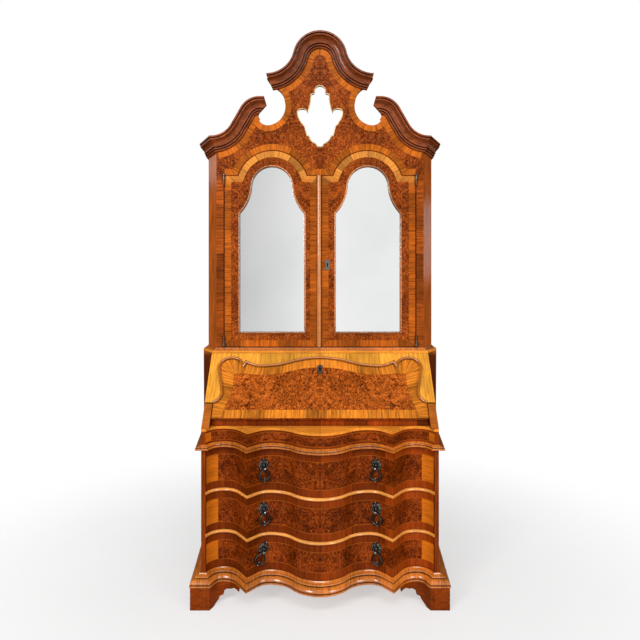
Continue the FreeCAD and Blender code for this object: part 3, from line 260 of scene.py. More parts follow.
# Straight grain: streaks that are short along the axes with a large scale
GRAIN_NOISE = (1.0, 6.0, 0.62, 0.3)
GRAIN_STOPS = (0.28, 0.5, 0.74)
GRAIN_DARK = 0.5
GRAIN_LIGHT = 0.45
UPRIGHT = (130.0, 130.0, 9.0)
ACROSS_X = (190.0, 40.0, 12.0)
ALONG_X = (9.0, 120.0, 160.0)
BAND_GRAIN = (140.0, 9.0, 1.0)
RAIL_GRAIN = (210.0, 40.0, 9.0)
END_GRAIN = (14.0, 14.0, 150.0)
CHEEK_GRAIN = (14.0, 90.0, 110.0)
BACK_GRAIN = (12.0, 60.0, 130.0)
CORNICE_GRAIN = (22.0, 150.0, 60.0)
LIP_GRAIN = (60.0, 60.0, 60.0)
FOOT_GRAIN = (30.0, 30.0, 120.0)
PILASTER_GRAIN = (14.0, 60.0, 170.0)
BOARD_GRAIN = (9.0, 70.0, 90.0)
PLANK_GRAIN = (70.0, 70.0, 5.0)
SPANDREL_GRAIN = (150.0, 9.0, 1.0)
SPANDREL_TURN = (0.0, 0.0, math.radians(42))
NO_TURN = (0.0, 0.0, 0.0)

# Contrast of the grain
STRONG = 1.5
CORNICE_CONTRAST = 1.3
CORNER_CONTRAST = 1.2
USUAL = 1.0
SPANDREL_CONTRAST = 0.95
PLAIN = 0.7
QUIET = 0.6
LIP_CONTRAST = 0.4

# Sheets of veneer laid side by side: axis, length in metres and spread of their tones
BASE_SHEETS = (0, 0.12, 0.18)
RAIL_SHEETS = (0, 0.1, 0.4)
LEDGE_SHEETS = (0, 0.16, 0.15)
FOOT_SHEETS = (0, 0.09, 0.15)
PILASTER_SHEETS = (2, 0.11, 0.45)
PLANKS = (0, 0.19, 0.2)

# Sheets laid along lines of their own: length and spread, and the joints between sheets
DRAWER_SHEETS = (0.13, 0.42)
SPANDREL_SHEETS = (0.13, 0.2)
BAND_SHEET = 0.085
BEAD_SHEET = 0.4
BAND_SPREAD = 0.34
JOINT_W = 0.003
JOINT_SHADE = 0.45
MATCH_SHADE = 0.35

# How far forwards or backwards a face turns where its veneer changes, and where the doors' bands grow pale
CORNER_FACING = 0.2
CHEEK_FACING = 0.5
BACK_FACING = 0.5
FACING_SOFT = 0.05
CROWN_RANGE = (1.72, 1.79)

# Polish: roughness, and pairs of coat and gloss
WOOD_ROUGH = 0.3
WOOD_COAT = 0.02
WOOD_GLOSS = 0.04
COAT_ROUGH = 0.2
POLISH = (1.0, 0.5)
SATIN = (0.35, 0.1)
CORNER_POLISH = (0.3, 0.1)
MATT = (0.0, WOOD_GLOSS)
PLAIN_POLISH = (WOOD_COAT, WOOD_GLOSS)
GLOSSY_ROUGH = 0.24
LIP_ROUGH = 0.2
CORNICE_ROUGH = 0.34
DESK_ROUGH = 0.5
PINE_ROUGH = 0.55

# Wear of the wood, and painted shade in its hollows and nooks
WEAR_NOISE = (9.0, 5.0, 0.6)
WEAR_ROUGH = (-0.08, 0.1)
WEAR_RANGE = (0.3, 0.7)
WEAR_SHADE = (0.8, 1.2)
NOOK_REACH = 0.012
NOOK_SAMPLES = 8
NOOK_RANGE = (0.25, 0.8)
NOOK_SHADE = 0.16
HOLLOW_RANGE = (0.40, 0.49)
HOLLOW_SHADE = 0.2
RELIEF = 0.12
RELIEF_DEPTH = 0.0006

# Studio lights: place, target, width and height in metres, and watts
LIGHT_AIM = (0.0, 0.0, 1.2)
LIGHTS = {
    "key": ((-2.6, -4.0, 2.6), LIGHT_AIM, (1.2, 1.8), 110.0),
    "fill": ((3.0, -3.6, 1.8), LIGHT_AIM, (1.4, 2.0), 55.0),
    "left_edge": ((-2.85, 2.6, 2.7), (-0.5, 0.1, 1.85), (0.3, 0.6), 0.9),
    "right_edge": ((2.9, 2.65, 1.8), (0.5, 0.1, 1.5), (0.35, 0.8), 1.2),
    "top": ((0.0, -4.3, 4.9), (0.0, -0.1, 0.9), (4.4, 0.7), 150.0),
}
SOFT_LIGHT = 0.36
WHITE = (1.0, 1.0, 1.0, 1.0)

# What polished faces and the mirrors reflect: a bright middle between darker sides
CARD_LEVELS = [(0.0, 0.7), (0.1, 0.4), (0.3, 0.42), (0.42, 0.62), (0.5, 1.0), (0.58, 0.98), (0.7, 0.48),
               (0.9, 0.4), (1.0, 0.7)]
CARD_HEIGHT = (0.28, 0.6)
CARD_DEPTH = (-0.3, 0.1)

# Floor, in metres
FLOOR_R = 2.2
FLOOR_SOLID_R = 0.55
FLOOR_SIDES = 96
FLOOR_CLEAR = 0.5
FLOOR_ROUGH = 0.8
FLOOR_NOISE = (2.0, 3.0, 0.55)
FLOOR_STOPS = [(0.3, (0.84, 0.84, 0.84)), (0.7, (0.88, 0.88, 0.88))]

# Which finish each CAD node has
FINISHES = {
    "upright": ["lower_side_left", "lower_side_right", "frieze_sides"],
    "base": ["base_moulding", "cabinet_moulding", "waist_moulding"],
    "bead_rail": ["dust_boards"],
    "astragal": ["door_astragal"],
    "ledge": ["ledge_board", "desk_top"],
    "frieze": ["frieze"],
    "foot": ["feet"],
    "rail": ["hinge_rail"],
    "dark": ["writing_bed", "pigeonholes", "shelves"],
    "pine_upright": ["back_boards", "upper_back", "door_left_back", "door_right_back"],
    "pine": ["upper_bottom", "upper_top", "drawer_1_box", "drawer_2_box", "drawer_3_box"],
    "side": ["upper_side_left", "upper_side_right"],
    "desk_side": ["desk_side_left", "desk_side_right"],
    "pilaster": ["pilasters"],
    "burr": ["pediment_board", "door_left_frame", "door_right_frame"],
    "burr_fall": ["fall_board"],
    "spandrel": ["fall_frame"],
    "cornice": ["cornice_centre"],
    "scroll": ["cornice_left", "cornice_right"],
    "mirror": ["door_left_mirror", "door_right_mirror"],
    "brass": ["fall_lock", "door_lock", "fall_pivots"],
    "plate": ["fall_escutcheon", "door_escutcheon"],
    "steel": ["door_pivots"],
    "bronze": ["door_left_hinges", "door_right_hinges"],
    "pewter": ["drawer_%d_rosettes" % n for n in (1, 2, 3)]
    + ["ring_%d_%s" % (n, side) for n in (1, 2, 3) for side in ("left", "right")],
    "drawer_1": ["drawer_1_front"],
    "drawer_2": ["drawer_2_front"],
    "drawer_3": ["drawer_3_front"],
}

# Straight-grained woods: tone, grain, sheets, contrast, roughness and polish
WOODS = {
    "lip": (LIP_TONE, LIP_GRAIN, None, LIP_CONTRAST, LIP_ROUGH, POLISH),
    "cornice": (CORNICE_TONE, CORNICE_GRAIN, None, CORNICE_CONTRAST, CORNICE_ROUGH, SATIN),
    "scroll": (SCROLL_TONE, CORNICE_GRAIN, None, CORNICE_CONTRAST, CORNICE_ROUGH, SATIN),
    "base": (BASE_TONE, ACROSS_X, BASE_SHEETS, USUAL, GLOSSY_ROUGH, POLISH),
    "bead_rail": (BEAD_TONE, ALONG_X, None, QUIET, GLOSSY_ROUGH, POLISH),
    "astragal": (ASTRAGAL_TONE, UPRIGHT, None, QUIET, GLOSSY_ROUGH, POLISH),
    "rail": (REDDISH, ACROSS_X, RAIL_SHEETS, USUAL, WOOD_ROUGH, PLAIN_POLISH),
    "ledge": (LEDGE_TONE, ALONG_X, LEDGE_SHEETS, PLAIN, WOOD_ROUGH, PLAIN_POLISH),
    "foot": (WALNUT, FOOT_GRAIN, FOOT_SHEETS, USUAL, WOOD_ROUGH, PLAIN_POLISH),
    "upright": (WALNUT, UPRIGHT, None, USUAL, WOOD_ROUGH, PLAIN_POLISH),
    "pilaster": (PILASTER_TONE, PILASTER_GRAIN, PILASTER_SHEETS, STRONG, WOOD_ROUGH, PLAIN_POLISH),
    "dark": (SHADE, ALONG_X, None, USUAL, WOOD_ROUGH, PLAIN_POLISH),
    "pine": (PINE, BOARD_GRAIN, None, QUIET, PINE_ROUGH, PLAIN_POLISH),
    "pine_upright": (PINE, PLANK_GRAIN, PLANKS, PLAIN, PINE_ROUGH, PLAIN_POLISH),
}

# Crossbanded pieces: tone, length of a sheet in metres, polish, and tone aloft if it is another
BANDS = {
    "band": (BAND_TONE, BAND_SHEET, PLAIN_POLISH, None),
    "door_band": (DOOR_BAND_TONE, BAND_SHEET, PLAIN_POLISH, DOOR_CROWN_TONE),
    "band_pale": (PALE, BAND_SHEET, PLAIN_POLISH, None),
    "band_red": (PILASTER_TONE, BAND_SHEET, PLAIN_POLISH, None),
    "lining": (LINING_TONE, BAND_SHEET, PLAIN_POLISH, None),
    "mirror_bead": (MIRROR_BEAD_TONE, BEAD_SHEET, POLISH, None),
}

# Sides: tone; tone, grain, contrast and least turn of what faces forwards; roughness and polish
SIDES = {
    "side": (WALNUT, CORNER_TONE, UPRIGHT, CORNER_CONTRAST, CORNER_FACING, GLOSSY_ROUGH, CORNER_POLISH),
    "desk_side": (SIDE_TONE, CHEEK_TONE, CHEEK_GRAIN, PLAIN, CHEEK_FACING, DESK_ROUGH, MATT),
}


def fill(tree, made, inputs):
    """Link a node's inputs to sockets, or give them plain values."""
    for key, value in inputs.items():
        if isinstance(value, bpy.types.NodeSocket):
            tree.links.new(value, made.inputs[key])
        else:
            made.inputs[key].default_value = value


def node(tree, kind, inputs=None, **settings):
    """Add a shader node with its settings and inputs."""
    made = tree.nodes.new(kind)
    for key, value in settings.items():
        setattr(made, key, value)
    fill(tree, made, inputs or {})
    return made


def new_material(name):
    material = bpy.data.materials.new(name)
    material.use_nodes = True
    return material, material.node_tree, material.node_tree.nodes["Principled BSDF"]


def math_node(tree, operation, first, second=0.0):
    return node(tree, "ShaderNodeMath", {0: first, 1: second}, operation=operation).outputs[0]


def product(tree, first, second):
    return math_node(tree, "MULTIPLY", first, second)


def opposite(tree, value):
    return math_node(tree, "SUBTRACT", 1.0, value)


def between(tree, value, low, high=1.0):
    """Stretch a value from 0 to 1 over another range."""
    return node(tree, "ShaderNodeMapRange", {0: value, 3: low, 4: high}).outputs[0]


def step(tree, value, low, high):
    """0 below low and 1 above high, with a soft edge between."""
    inputs = {0: value, 1: low, 2: high}
    return node(tree, "ShaderNodeMapRange", inputs, interpolation_type="SMOOTHSTEP").outputs[0]


def edge(tree, value, place):
    """A clean edge between two veneers."""
    return step(tree, value, place - EDGE_SOFT, place + EDGE_SOFT)


def coordinates(tree):
    return node(tree, "ShaderNodeTexCoord").outputs["Object"]


def band_coordinates(tree):
    """Along and across a veneer band, in metres, from the band's own UV map."""
    return node(tree, "ShaderNodeUVMap", uv_map="grain").outputs[0]


def split(tree, vector):
    return node(tree, "ShaderNodeSeparateXYZ", {0: vector}).outputs


def joined(tree, x, y, z=0.0):
    return node(tree, "ShaderNodeCombineXYZ", {0: x, 1: y, 2: z}).outputs[0]


def noise(tree, vector, scale, detail, rough, warp=0.0):
    inputs = {"Vector": vector, "Scale": scale, "Detail": detail, "Roughness": rough, "Distortion": warp}
    return node(tree, "ShaderNodeTexNoise", inputs).outputs[0]


def ramp(tree, value, stops):
    made = node(tree, "ShaderNodeValToRGB", {0: value})
    points = made.color_ramp.elements
    while len(points) < len(stops):
        points.new(0.5)
    for point, (place, colour) in zip(points, stops):
        point.position = place
        point.color = (*colour, 1.0)
    return made.outputs[0]


def blend(tree, share, first, second, kind="MIX"):
    inputs = {0: share, 6: first, 7: second}
    return node(tree, "ShaderNodeMix", inputs, data_type="RGBA", blend_type=kind).outputs[2]


def shaded(tree, colour, level):
    grey = node(tree, "ShaderNodeCombineColor", {0: level, 1: level, 2: level}).outputs[0]
    return blend(tree, 1.0, colour, grey, "MULTIPLY")


def shades(colour, dark, light):
    """Darker and lighter tones of one wood colour."""
    return [tuple(c * dark for c in colour), colour, tuple(min(1.0, c * light) for c in colour)]


def burr_colour(tree, vector, colour):
    """Mottled burr, dark ground with small eyes and a net of curling golden veins; and its height."""
    dark, mid, light = shades(colour, BURR_DARK, BURR_LIGHT)
    gold = [c * share for c, share in zip(light, BURR_GOLD)]
    cloud = math_node(tree, "SUBTRACT", noise(tree, vector, *BURR_CLOUD), NOISE_MIDDLE)
    broad = product(tree, cloud, BURR_CLOUD_SHARE)
    ground = math_node(tree, "ADD", noise(tree, vector, *BURR_GROUND), broad)
    tone = ramp(tree, ground, list(zip(BURR_STOPS, (dark, mid, gold))))
    curl = math_node(tree, "SUBTRACT", noise(tree, vector, *BURR_VEINS), NOISE_MIDDLE)
    away = math_node(tree, "ABSOLUTE", curl)
    net = opposite(tree, step(tree, away, 0.0, BURR_VEIN_W))
    tone = blend(tree, product(tree, net, BURR_VEIN_SHARE), tone, (*gold, 1.0))
    eyes = node(tree, "ShaderNodeTexVoronoi", {"Vector": vector, "Scale": BURR_EYES}).outputs[0]
    spots = opposite(tree, step(tree, eyes, *BURR_EYE_RANGE))
    return blend(tree, product(tree, spots, BURR_EYE_SHARE), tone, (*dark, 1.0)), ground


def grain_colour(tree, vector, scale, colour, contrast=USUAL, turn=NO_TURN):
    """Straight grain, and its height."""
    tones = shades(colour, 1 - GRAIN_DARK * contrast, 1 + GRAIN_LIGHT * contrast)
    streaks = node(tree, "ShaderNodeMapping", {0: vector, 2: turn, 3: scale}).outputs[0]
    fine = noise(tree, streaks, *GRAIN_NOISE)
    return ramp(tree, fine, list(zip(GRAIN_STOPS, tones))), fine


def sheeted(tree, colour, place, length, spread):
    """Sheets of veneer laid side by side along a coordinate: each its own tone, with a fine dark joint."""
    count = math_node(tree, "DIVIDE", place, length)
    number = math_node(tree, "FLOOR", count)
    chance = node(tree, "ShaderNodeTexWhiteNoise", {"W": number}, noise_dimensions="1D")
    level = between(tree, chance.outputs[0], 1 - spread, 1 + spread)
    joint = step(tree, math_node(tree, "FRACT", count), 0.0, JOINT_W / length)
    return shaded(tree, colour, product(tree, level, between(tree, joint, JOINT_SHADE)))


def matched_burr(tree, colour):
    """Burr veneer opened like a book about the middle, with its joint; and its height."""
    x, y, z = split(tree, coordinates(tree))
    away = math_node(tree, "ABSOLUTE", x)
    joint = between(tree, step(tree, away, 0.0, JOINT_W / 2), MATCH_SHADE)
    tone, height = burr_colour(tree, joined(tree, away, y, z), colour)
    return shaded(tree, tone, joint), height


def finish_material(name, build, rough=WOOD_ROUGH, polish=PLAIN_POLISH):
    """Polished wood with painted shade in its hollows and nooks: build(tree) gives the colour and the
    height of its grain.
    """
    material, tree, shader = new_material(name)
    colour, height = build(tree)
    wear = noise(tree, coordinates(tree), *WEAR_NOISE)
    # Painted shade: darker where pointiness finds a hollow and where ambient occlusion finds a nook
    hollow = step(tree, node(tree, "ShaderNodeNewGeometry").outputs["Pointiness"], *HOLLOW_RANGE)
    openness = node(tree, "ShaderNodeAmbientOcclusion", {"Distance": NOOK_REACH}, samples=NOOK_SAMPLES)
    nook = step(tree, openness.outputs["AO"], *NOOK_RANGE)
    painted_shade = product(tree, between(tree, hollow, HOLLOW_SHADE), between(tree, nook, NOOK_SHADE))
    least, most = WEAR_RANGE
    dark, light = WEAR_SHADE
    patchy = node(tree, "ShaderNodeMapRange", {0: wear, 1: least, 2: most, 3: dark, 4: light}).outputs[0]
    relief = node(tree, "ShaderNodeBump", {"Strength": RELIEF, "Distance": RELIEF_DEPTH, "Height": height})
    smoother, rougher = WEAR_ROUGH
    coat, gloss = polish
    fill(tree, shader, {
        "Base Color": shaded(tree, colour, product(tree, painted_shade, patchy)),
        "Roughness": between(tree, wear, rough + smoother, rough + rougher),
        "Specular IOR Level": gloss,
        "Coat Weight": coat,
        "Coat Roughness": COAT_ROUGH,
        "Normal": relief.outputs[0],
    })
    return material


def burr(name, colour):
    """Burr veneer in front, plain walnut behind."""
    def build(tree):
        tone, height = matched_burr(tree, colour)
        behind, _ = grain_colour(tree, coordinates(tree), BACK_GRAIN, WALNUT)
        facing = split(tree, node(tree, "ShaderNodeTexCoord").outputs["Normal"])[1]
        back = step(tree, facing, BACK_FACING, BACK_FACING + FACING_SOFT)
        return blend(tree, back, tone, behind), height
    return finish_material(name, build)


def grain(name, colour, scale, sheets, contrast, rough, polish):
    """Straight-grained wood, in sheets laid along an axis if sheets are given."""
    def build(tree):
        vector = coordinates(tree)
        tone, height = grain_colour(tree, vector, scale, colour, contrast)
        if sheets:
            axis, length, spread = sheets
            tone = sheeted(tree, tone, split(tree, vector)[axis], length, spread)
        return tone, height
    return finish_material(name, build, rough, polish)


def band(name, colour, sheet, polish, crown):
    """Crossbanding: grain runs across the band, in sheets laid one after another along it."""
    def build(tree):
        vector = band_coordinates(tree)
        tone, height = grain_colour(tree, vector, BAND_GRAIN, colour, STRONG)
        if crown:
            pale, _ = grain_colour(tree, vector, BAND_GRAIN, crown)
            tone = blend(tree, step(tree, split(tree, coordinates(tree))[2], *CROWN_RANGE), tone, pale)
        return sheeted(tree, tone, split(tree, vector)[0], sheet, BAND_SPREAD), height
    return finish_material(name, build, polish=polish)


def drawer_front(name, low, high, rail_w, end_w):
    """Serpentine front: a burr field and pale ends, between cross-grained rails with a light string."""
    def build(tree):
        vector = coordinates(tree)
        x, _, z = split(tree, vector)
        field, height = matched_burr(tree, BURR_DRAWER)
        rail, _ = grain_colour(tree, vector, RAIL_GRAIN, REDDISH)
        rail = sheeted(tree, rail, x, *DRAWER_SHEETS)
        end, _ = grain_colour(tree, vector, END_GRAIN, END_TONE, PLAIN)
        tone = blend(tree, edge(tree, math_node(tree, "ABSOLUTE", x), high[0] - end_w), field, end)
        up = math_node(tree, "ABSOLUTE", math_node(tree, "SUBTRACT", z, (low[2] + high[2]) / 2))
        rail_z = (high[2] - low[2]) / 2 - rail_w
        tone = blend(tree, edge(tree, up, rail_z - STRING_W), tone, (*STRING_TONE, 1.0))
        return blend(tree, edge(tree, up, rail_z), tone, rail), height
    return finish_material(name, build)


def faced_side(name, side_tone, front_tone, front_scale, contrast, least, rough, polish):
    """Dark upright boards; what faces forwards by more than least is laid with paler veneer."""
    def build(tree):
        vector = coordinates(tree)
        board, height = grain_colour(tree, vector, UPRIGHT, side_tone)
        front, _ = grain_colour(tree, vector, front_scale, front_tone, contrast)
        facing = split(tree, node(tree, "ShaderNodeNewGeometry").outputs["True Normal"])[1]
        forwards = step(tree, product(tree, facing, -1.0), least, least + FACING_SOFT)
        return blend(tree, forwards, board, front), height
    return finish_material(name, build, rough, polish)


def spandrel(name, colour):
    """Pale veneer whose grain runs down and outwards from the middle of the fall."""
    def build(tree):
        x, y, z = split(tree, coordinates(tree))
        away = math_node(tree, "ABSOLUTE", x)
        up = math_node(tree, "ADD", product(tree, y, SLOPE_Y), product(tree, z, SLOPE_Z))
        vector = joined(tree, away, up)
        tone, height = grain_colour(tree, vector, SPANDREL_GRAIN, colour, SPANDREL_CONTRAST, SPANDREL_TURN)
        return sheeted(tree, tone, away, *SPANDREL_SHEETS), height
    return finish_material(name, build)


def metal(name, colour, rough, bright):
    """Cast metal: dark in the hollows and rubbed bright on what stands out."""
    material, tree, shader = new_material(name)
    proud = node(tree, "ShaderNodeNewGeometry").outputs["Pointiness"]
    patina = noise(tree, coordinates(tree), *PATINA_NOISE)
    height = math_node(tree, "ADD", proud, product(tree, patina, PATINA_SHARE))
    smoother, rougher = PATINA_ROUGH
    fill(tree, shader, {
        "Base Color": blend(tree, step(tree, height, *RUBBED_RANGE), (*colour, 1.0), (*bright, 1.0)),
        "Metallic": 1.0,
        "Roughness": between(tree, patina, rough + smoother, rough + rougher),
    })
    return material


def mirror_glass():
    """Silvered glass, with a faint cloudiness in the silvering."""
    material, tree, shader = new_material("mirror_glass")
    cloud = noise(tree, coordinates(tree), *SILVER_NOISE)
    fill(tree, shader, {
        "Base Color": ramp(tree, cloud, SILVER_STOPS),
        "Metallic": 1.0,
        "Roughness": between(tree, cloud, *SILVER_ROUGH),
    })
    return material


def make_materials():
    made = {"burr": burr("burr", BURR), "burr_fall": burr("burr_fall", BURR_FALL)}
    for build, table in ((band, BANDS), (grain, WOODS), (faced_side, SIDES), (metal, METALS)):
        for name, settings in table.items():
            made[name] = build(name, *settings)
    made["spandrel"] = spandrel("spandrel", STRAW)
    made["mirror"] = mirror_glass()
    for name in ("1", "2", "3"):
        low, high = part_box("drawer_%s_front" % name)
        made["drawer_" + name] = drawer_front("drawer_" + name, low, high, RAIL_BAND, END_BAND)
    low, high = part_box("frieze")
    made["frieze"] = drawer_front("frieze_front", low, high, FRIEZE_RAIL, FRIEZE_END)
    return made


def finish_nodes(materials):
    for finish, names in FINISHES.items():
        for name in names:
            for slot in NODES[name].material_slots:
                slot.material = materials[finish]


def turns(total, count, first=0.0):
    """Angles over a total turn, in equal steps, both ends included."""
    return [first + total * i / count for i in range(count + 1)]


def full_circle(count):
    return turns(2 * math.pi, count)[:-1]


def arc_points(start, middle, end, count=ARC_STEPS):
    """Points of the circular arc through three points."""
    ax, ay = start
    bx, by = middle
    cx, cy = end
    d = 2 * (ax * (by - cy) + bx * (cy - ay) + cx * (ay - by))
    a2 = ax * ax + ay * ay
    b2 = bx * bx + by * by
    c2 = cx * cx + cy * cy
    ox = (a2 * (by - cy) + b2 * (cy - ay) + c2 * (ay - by)) / d
    oy = (a2 * (cx - bx) + b2 * (ax - cx) + c2 * (bx - ax)) / d
    radius = math.hypot(ax - ox, ay - oy)
    first = math.atan2(ay - oy, ax - ox)
    mid = (math.atan2(by - oy, bx - ox) - first) % (2 * math.pi)
    turn = (math.atan2(cy - oy, cx - ox) - first) % (2 * math.pi)
    if mid > turn:
        turn -= 2 * math.pi
    return [(ox + radius * math.cos(t), oy + radius * math.sin(t)) for t in turns(turn, count, first)]


def span_points(spans):
    points = [spans[0][0]]
    for start, middle, end in spans:
        piece = arc_points(start, middle, end) if middle else [start, end]
        points += piece[1:]
    return points


def sided(points, sign):
    """A line of the right half, or with sign -1 of the left half."""
    return [(x * sign, z) for x, z in points]


def offsets(points, closed):
    """Left-hand mitred normals of a flat line, one at each point."""
    count = len(points)
    normals = []
    for i in range(count):
        before = points[i - 1] if i or closed else points[i]
        after = points[(i + 1) % count] if i < count - 1 or closed else points[i]
        sides = []
        for (ax, ay), (bx, by) in ((before, points[i]), (points[i], after)):
            length = math.hypot(bx - ax, by - ay)
            if length > SHORTEST:
                sides.append(Vector((-(by - ay) / length, (bx - ax) / length)))
        mean = sum(sides, Vector((0, 0))).normalized()
        normals.append(mean / max(MITRE_LEAST, mean.dot(sides[0])))
    return normals


def finer(points, closed):
    """The same line with its long straight runs divided, so that crossbanded grain stays square to it."""
    path = points + points[:1] if closed else points
    fine = []
    for (ax, az), (bx, bz) in zip(path, path[1:]):
        length = math.hypot(bx - ax, bz - az)
        stops = [0.0]
        if length > 3 * SWEEP_STEP:
            count = math.ceil(length / SWEEP_STEP) - 2
            stops += [SWEEP_STEP + (length - 2 * SWEEP_STEP) * i / count for i in range(count + 1)]
        fine += [(ax + (bx - ax) * stop / length, az + (bz - az) * stop / length) for stop in stops]
    return fine if closed else fine + points[-1:]


def resampled(points, count):
    """The same line with evenly spaced points."""
    lengths = [0.0]
    for before, after in zip(points, points[1:]):
        lengths.append(lengths[-1] + math.dist(before, after))
    even = []
    i = 0
    for k in range(count + 1):
        target = lengths[-1] * k / count
        while i < len(points) - 2 and lengths[i + 1] < target:
            i += 1
        share = (target - lengths[i]) / max(SHORTEST, lengths[i + 1] - lengths[i])
        (ax, ay), (bx, by) = points[i], points[i + 1]
        even.append((ax + (bx - ax) * share, ay + (by - ay) * share))
    return even


def new_piece(name, work, material):
    """Turn worked faces into an object with one material."""
    bmesh.ops.recalc_face_normals(work, faces=work.faces)
    mesh = bpy.data.meshes.new(name)
    work.to_mesh(mesh)
    work.free()
    mesh.materials.append(material)
    made = bpy.data.objects.new(name, mesh)
    bpy.context.scene.collection.objects.link(made)
    return made


def lay_veneer(name, rows, body, material, smooth=False):
    """Skin rows of points that each have their distances along and across the band."""
    work = bmesh.new()
    uv_layer = work.loops.layers.uv.new("grain")
    laid = []
    for row in rows:
        spots = [(work.verts.new(Vector(at) * MM), along * MM, across * MM) for at, along, across in row]
        laid.append(spots)
    for first, second in zip(laid, laid[1:]):
        for j in range(len(first) - 1):
            corners = (first[j], first[j + 1], second[j + 1], second[j])
            face = work.faces.new([corner[0] for corner in corners])
            face.smooth = smooth
            for loop, corner in zip(face.loops, corners):
                loop[uv_layer].uv = corner[1:]
    made = new_piece(name, work, material)
    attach(made, body)


def sweep(name, points, profile, place, body, material, closed=False, smooth=False):
    """Run a profile of (offset to the left, height) along a flat line laid on a face by place()."""
    points = finer(points, closed)
    normals = offsets(points, closed)
    path = points + points[:1] if closed else points
    rows = []
    along = 0.0
    for i, (x, z) in enumerate(path):
        if i:
            along += math.dist(path[i], path[i - 1])
        normal = normals[i % len(points)]
        row = []
        for offset, height in profile:
            row.append((place(x + normal.x * offset, z + normal.y * offset, height), along, offset))
        rows.append(row)
    lay_veneer(name, rows, body, material, smooth)


def ribbon(name, outer, inner, place, body, material):
    """Veneer laid between two lines that have the same number of points."""
    rows = []
    along = 0.0
    for i, (far, near) in enumerate(zip(outer, inner)):
        if i:
            along += (math.dist(far, outer[i - 1]) + math.dist(near, inner[i - 1])) / 2
        width = math.dist(far, near)
        corners = ((far, -VENEER, 0.0), (far, VENEER, 0.0), (near, VENEER, width), (near, -VENEER, width))
        rows.append([(place(x, z, height), along, across) for (x, z), height, across in corners])
    lay_veneer(name, rows, body, material)


def strip_profile(first, second, lift=VENEER):
    """A thin sheet of veneer between two offsets, with its edges turned down to the face."""
    near, far = sorted((first, second))
    return [(near, -lift), (near, lift), (far, lift), (far, -lift)]


def bead_profile(radius):
    return [(radius * math.cos(t), radius * math.sin(t)) for t in turns(math.pi, BEAD_SIDES)]


def on_face(x, z, out):
    return (x, FACE_Y - out, z)


def on_slope(x, s, out):
    return (x, SLOPE_FOOT[0] + s * SLOPE_Y - out * SLOPE_Z, SLOPE_FOOT[1] + s * SLOPE_Z + out * SLOPE_Y)


def on_panel(x, s, out):
    return on_slope(x, s, out - PANEL_DEPTH)


def crown_line(inset):
    """Underside line of the centre cornice, from the apex to its right tip."""
    tip_x, tip_z = CROWN_TIP
    drop = APEX_Z - tip_z
    total = (tip_x ** 2 + drop ** 2) / (2 * drop)
    angles = turns(math.asin(tip_x / total), CROWN_STEPS)
    inner = CROWN_R - inset
    tail = total - CROWN_R
    outer = tail + inset
    upper = [(inner * math.sin(t), APEX_Z - CROWN_R + inner * math.cos(t)) for t in angles]
    lower = [(tip_x - outer * math.sin(t), tip_z + tail - outer * math.cos(t)) for t in reversed(angles)]
    return upper + lower[1:]


def scroll_line(inset):
    """Underside line of the right scroll cornice, from the notch outwards."""
    x, z = SCROLL_START
    angles = turns(SCROLL_TURN, SCROLL_STEPS)
    inner = SCROLL_R - inset
    outer = SCROLL_TAIL_R + inset
    upper = [(x + inner * math.sin(t), z - SCROLL_R + inner * math.cos(t)) for t in angles]
    end_x = x + SCROLL_R * math.sin(SCROLL_TURN) + SCROLL_STRAIGHT * math.cos(SCROLL_TURN)
    end_z = z - SCROLL_R * (1 - math.cos(SCROLL_TURN)) - SCROLL_STRAIGHT * math.sin(SCROLL_TURN)
    middle_x = end_x + SCROLL_TAIL_R * math.sin(SCROLL_TURN)
    middle_z = end_z + SCROLL_TAIL_R * math.cos(SCROLL_TURN)
    lower = [(middle_x - outer * math.sin(t), middle_z - outer * math.cos(t)) for t in reversed(angles)]
    return [(x - SCROLL_LEAD, z - inset)] + upper + lower


def arch_line(shoulder_z, gap):
    """Arched head of a door, or with a gap of its doorway, from its outer shoulder inwards."""
    half = ARCH_HALF + gap
    top = (ARCH_X, ARCH_TOP_Z + gap)
    return arc_points((ARCH_X + half, shoulder_z), top, (ARCH_X - half, shoulder_z), ARCH_STEPS)


def door_line(meet):
    """Outline of a door, counter-clockwise, with its arched head."""
    foot = [(meet, DOOR_LOW_Z), (DOOR_OUTER_X, DOOR_LOW_Z), (DOOR_OUTER_X, SHOULDER_Z)]
    return foot + arch_line(SHOULDER_Z, 0.0) + [(meet, SHOULDER_Z)]


def mirror_line():
    """Outline of a mirror: a wide lower part, hollow shoulders and a round head."""
    lift = MIRROR_NECK_Z - MIRROR_SHOULDER_Z
    reach = MIRROR_HALF - MIRROR_NECK_HALF
    low = (MIRROR_HALF, MIRROR_SHOULDER_Z)
    hollow = (MIRROR_HALF - reach * MIRROR_HOLLOW_IN, MIRROR_SHOULDER_Z + lift * MIRROR_HOLLOW_UP)
    neck = (MIRROR_NECK_HALF, MIRROR_NECK_Z)
    top = (0, MIRROR_NECK_Z + MIRROR_NECK_HALF)
    head = arc_points(neck, top, (-MIRROR_NECK_HALF, MIRROR_NECK_Z), MIRROR_HEAD_STEPS)
    right = [(MIRROR_HALF, MIRROR_LOW_Z)] + arc_points(low, hollow, neck, MIRROR_SHOULDER_STEPS)
    return right + head[1:-1] + sided(right, -1)[::-1]


def pull_axes(joint):
    """A pull's hinge point in millimetres, and its directions along the axis, outwards and down."""
    along = Vector(joint["axis"]).normalized()
    out = Vector((-along.y, along.x, 0.0)).normalized()
    if out.y > 0:
        out.negate()
    down = along.cross(out)
    if down.z > 0:
        down.negate()
    return Vector(joint["pos_m"]) / MM, along, out, down


def circle(centre, first, second, radius, count):
    return [centre + (first * math.cos(t) + second * math.sin(t)) * radius for t in full_circle(count)]


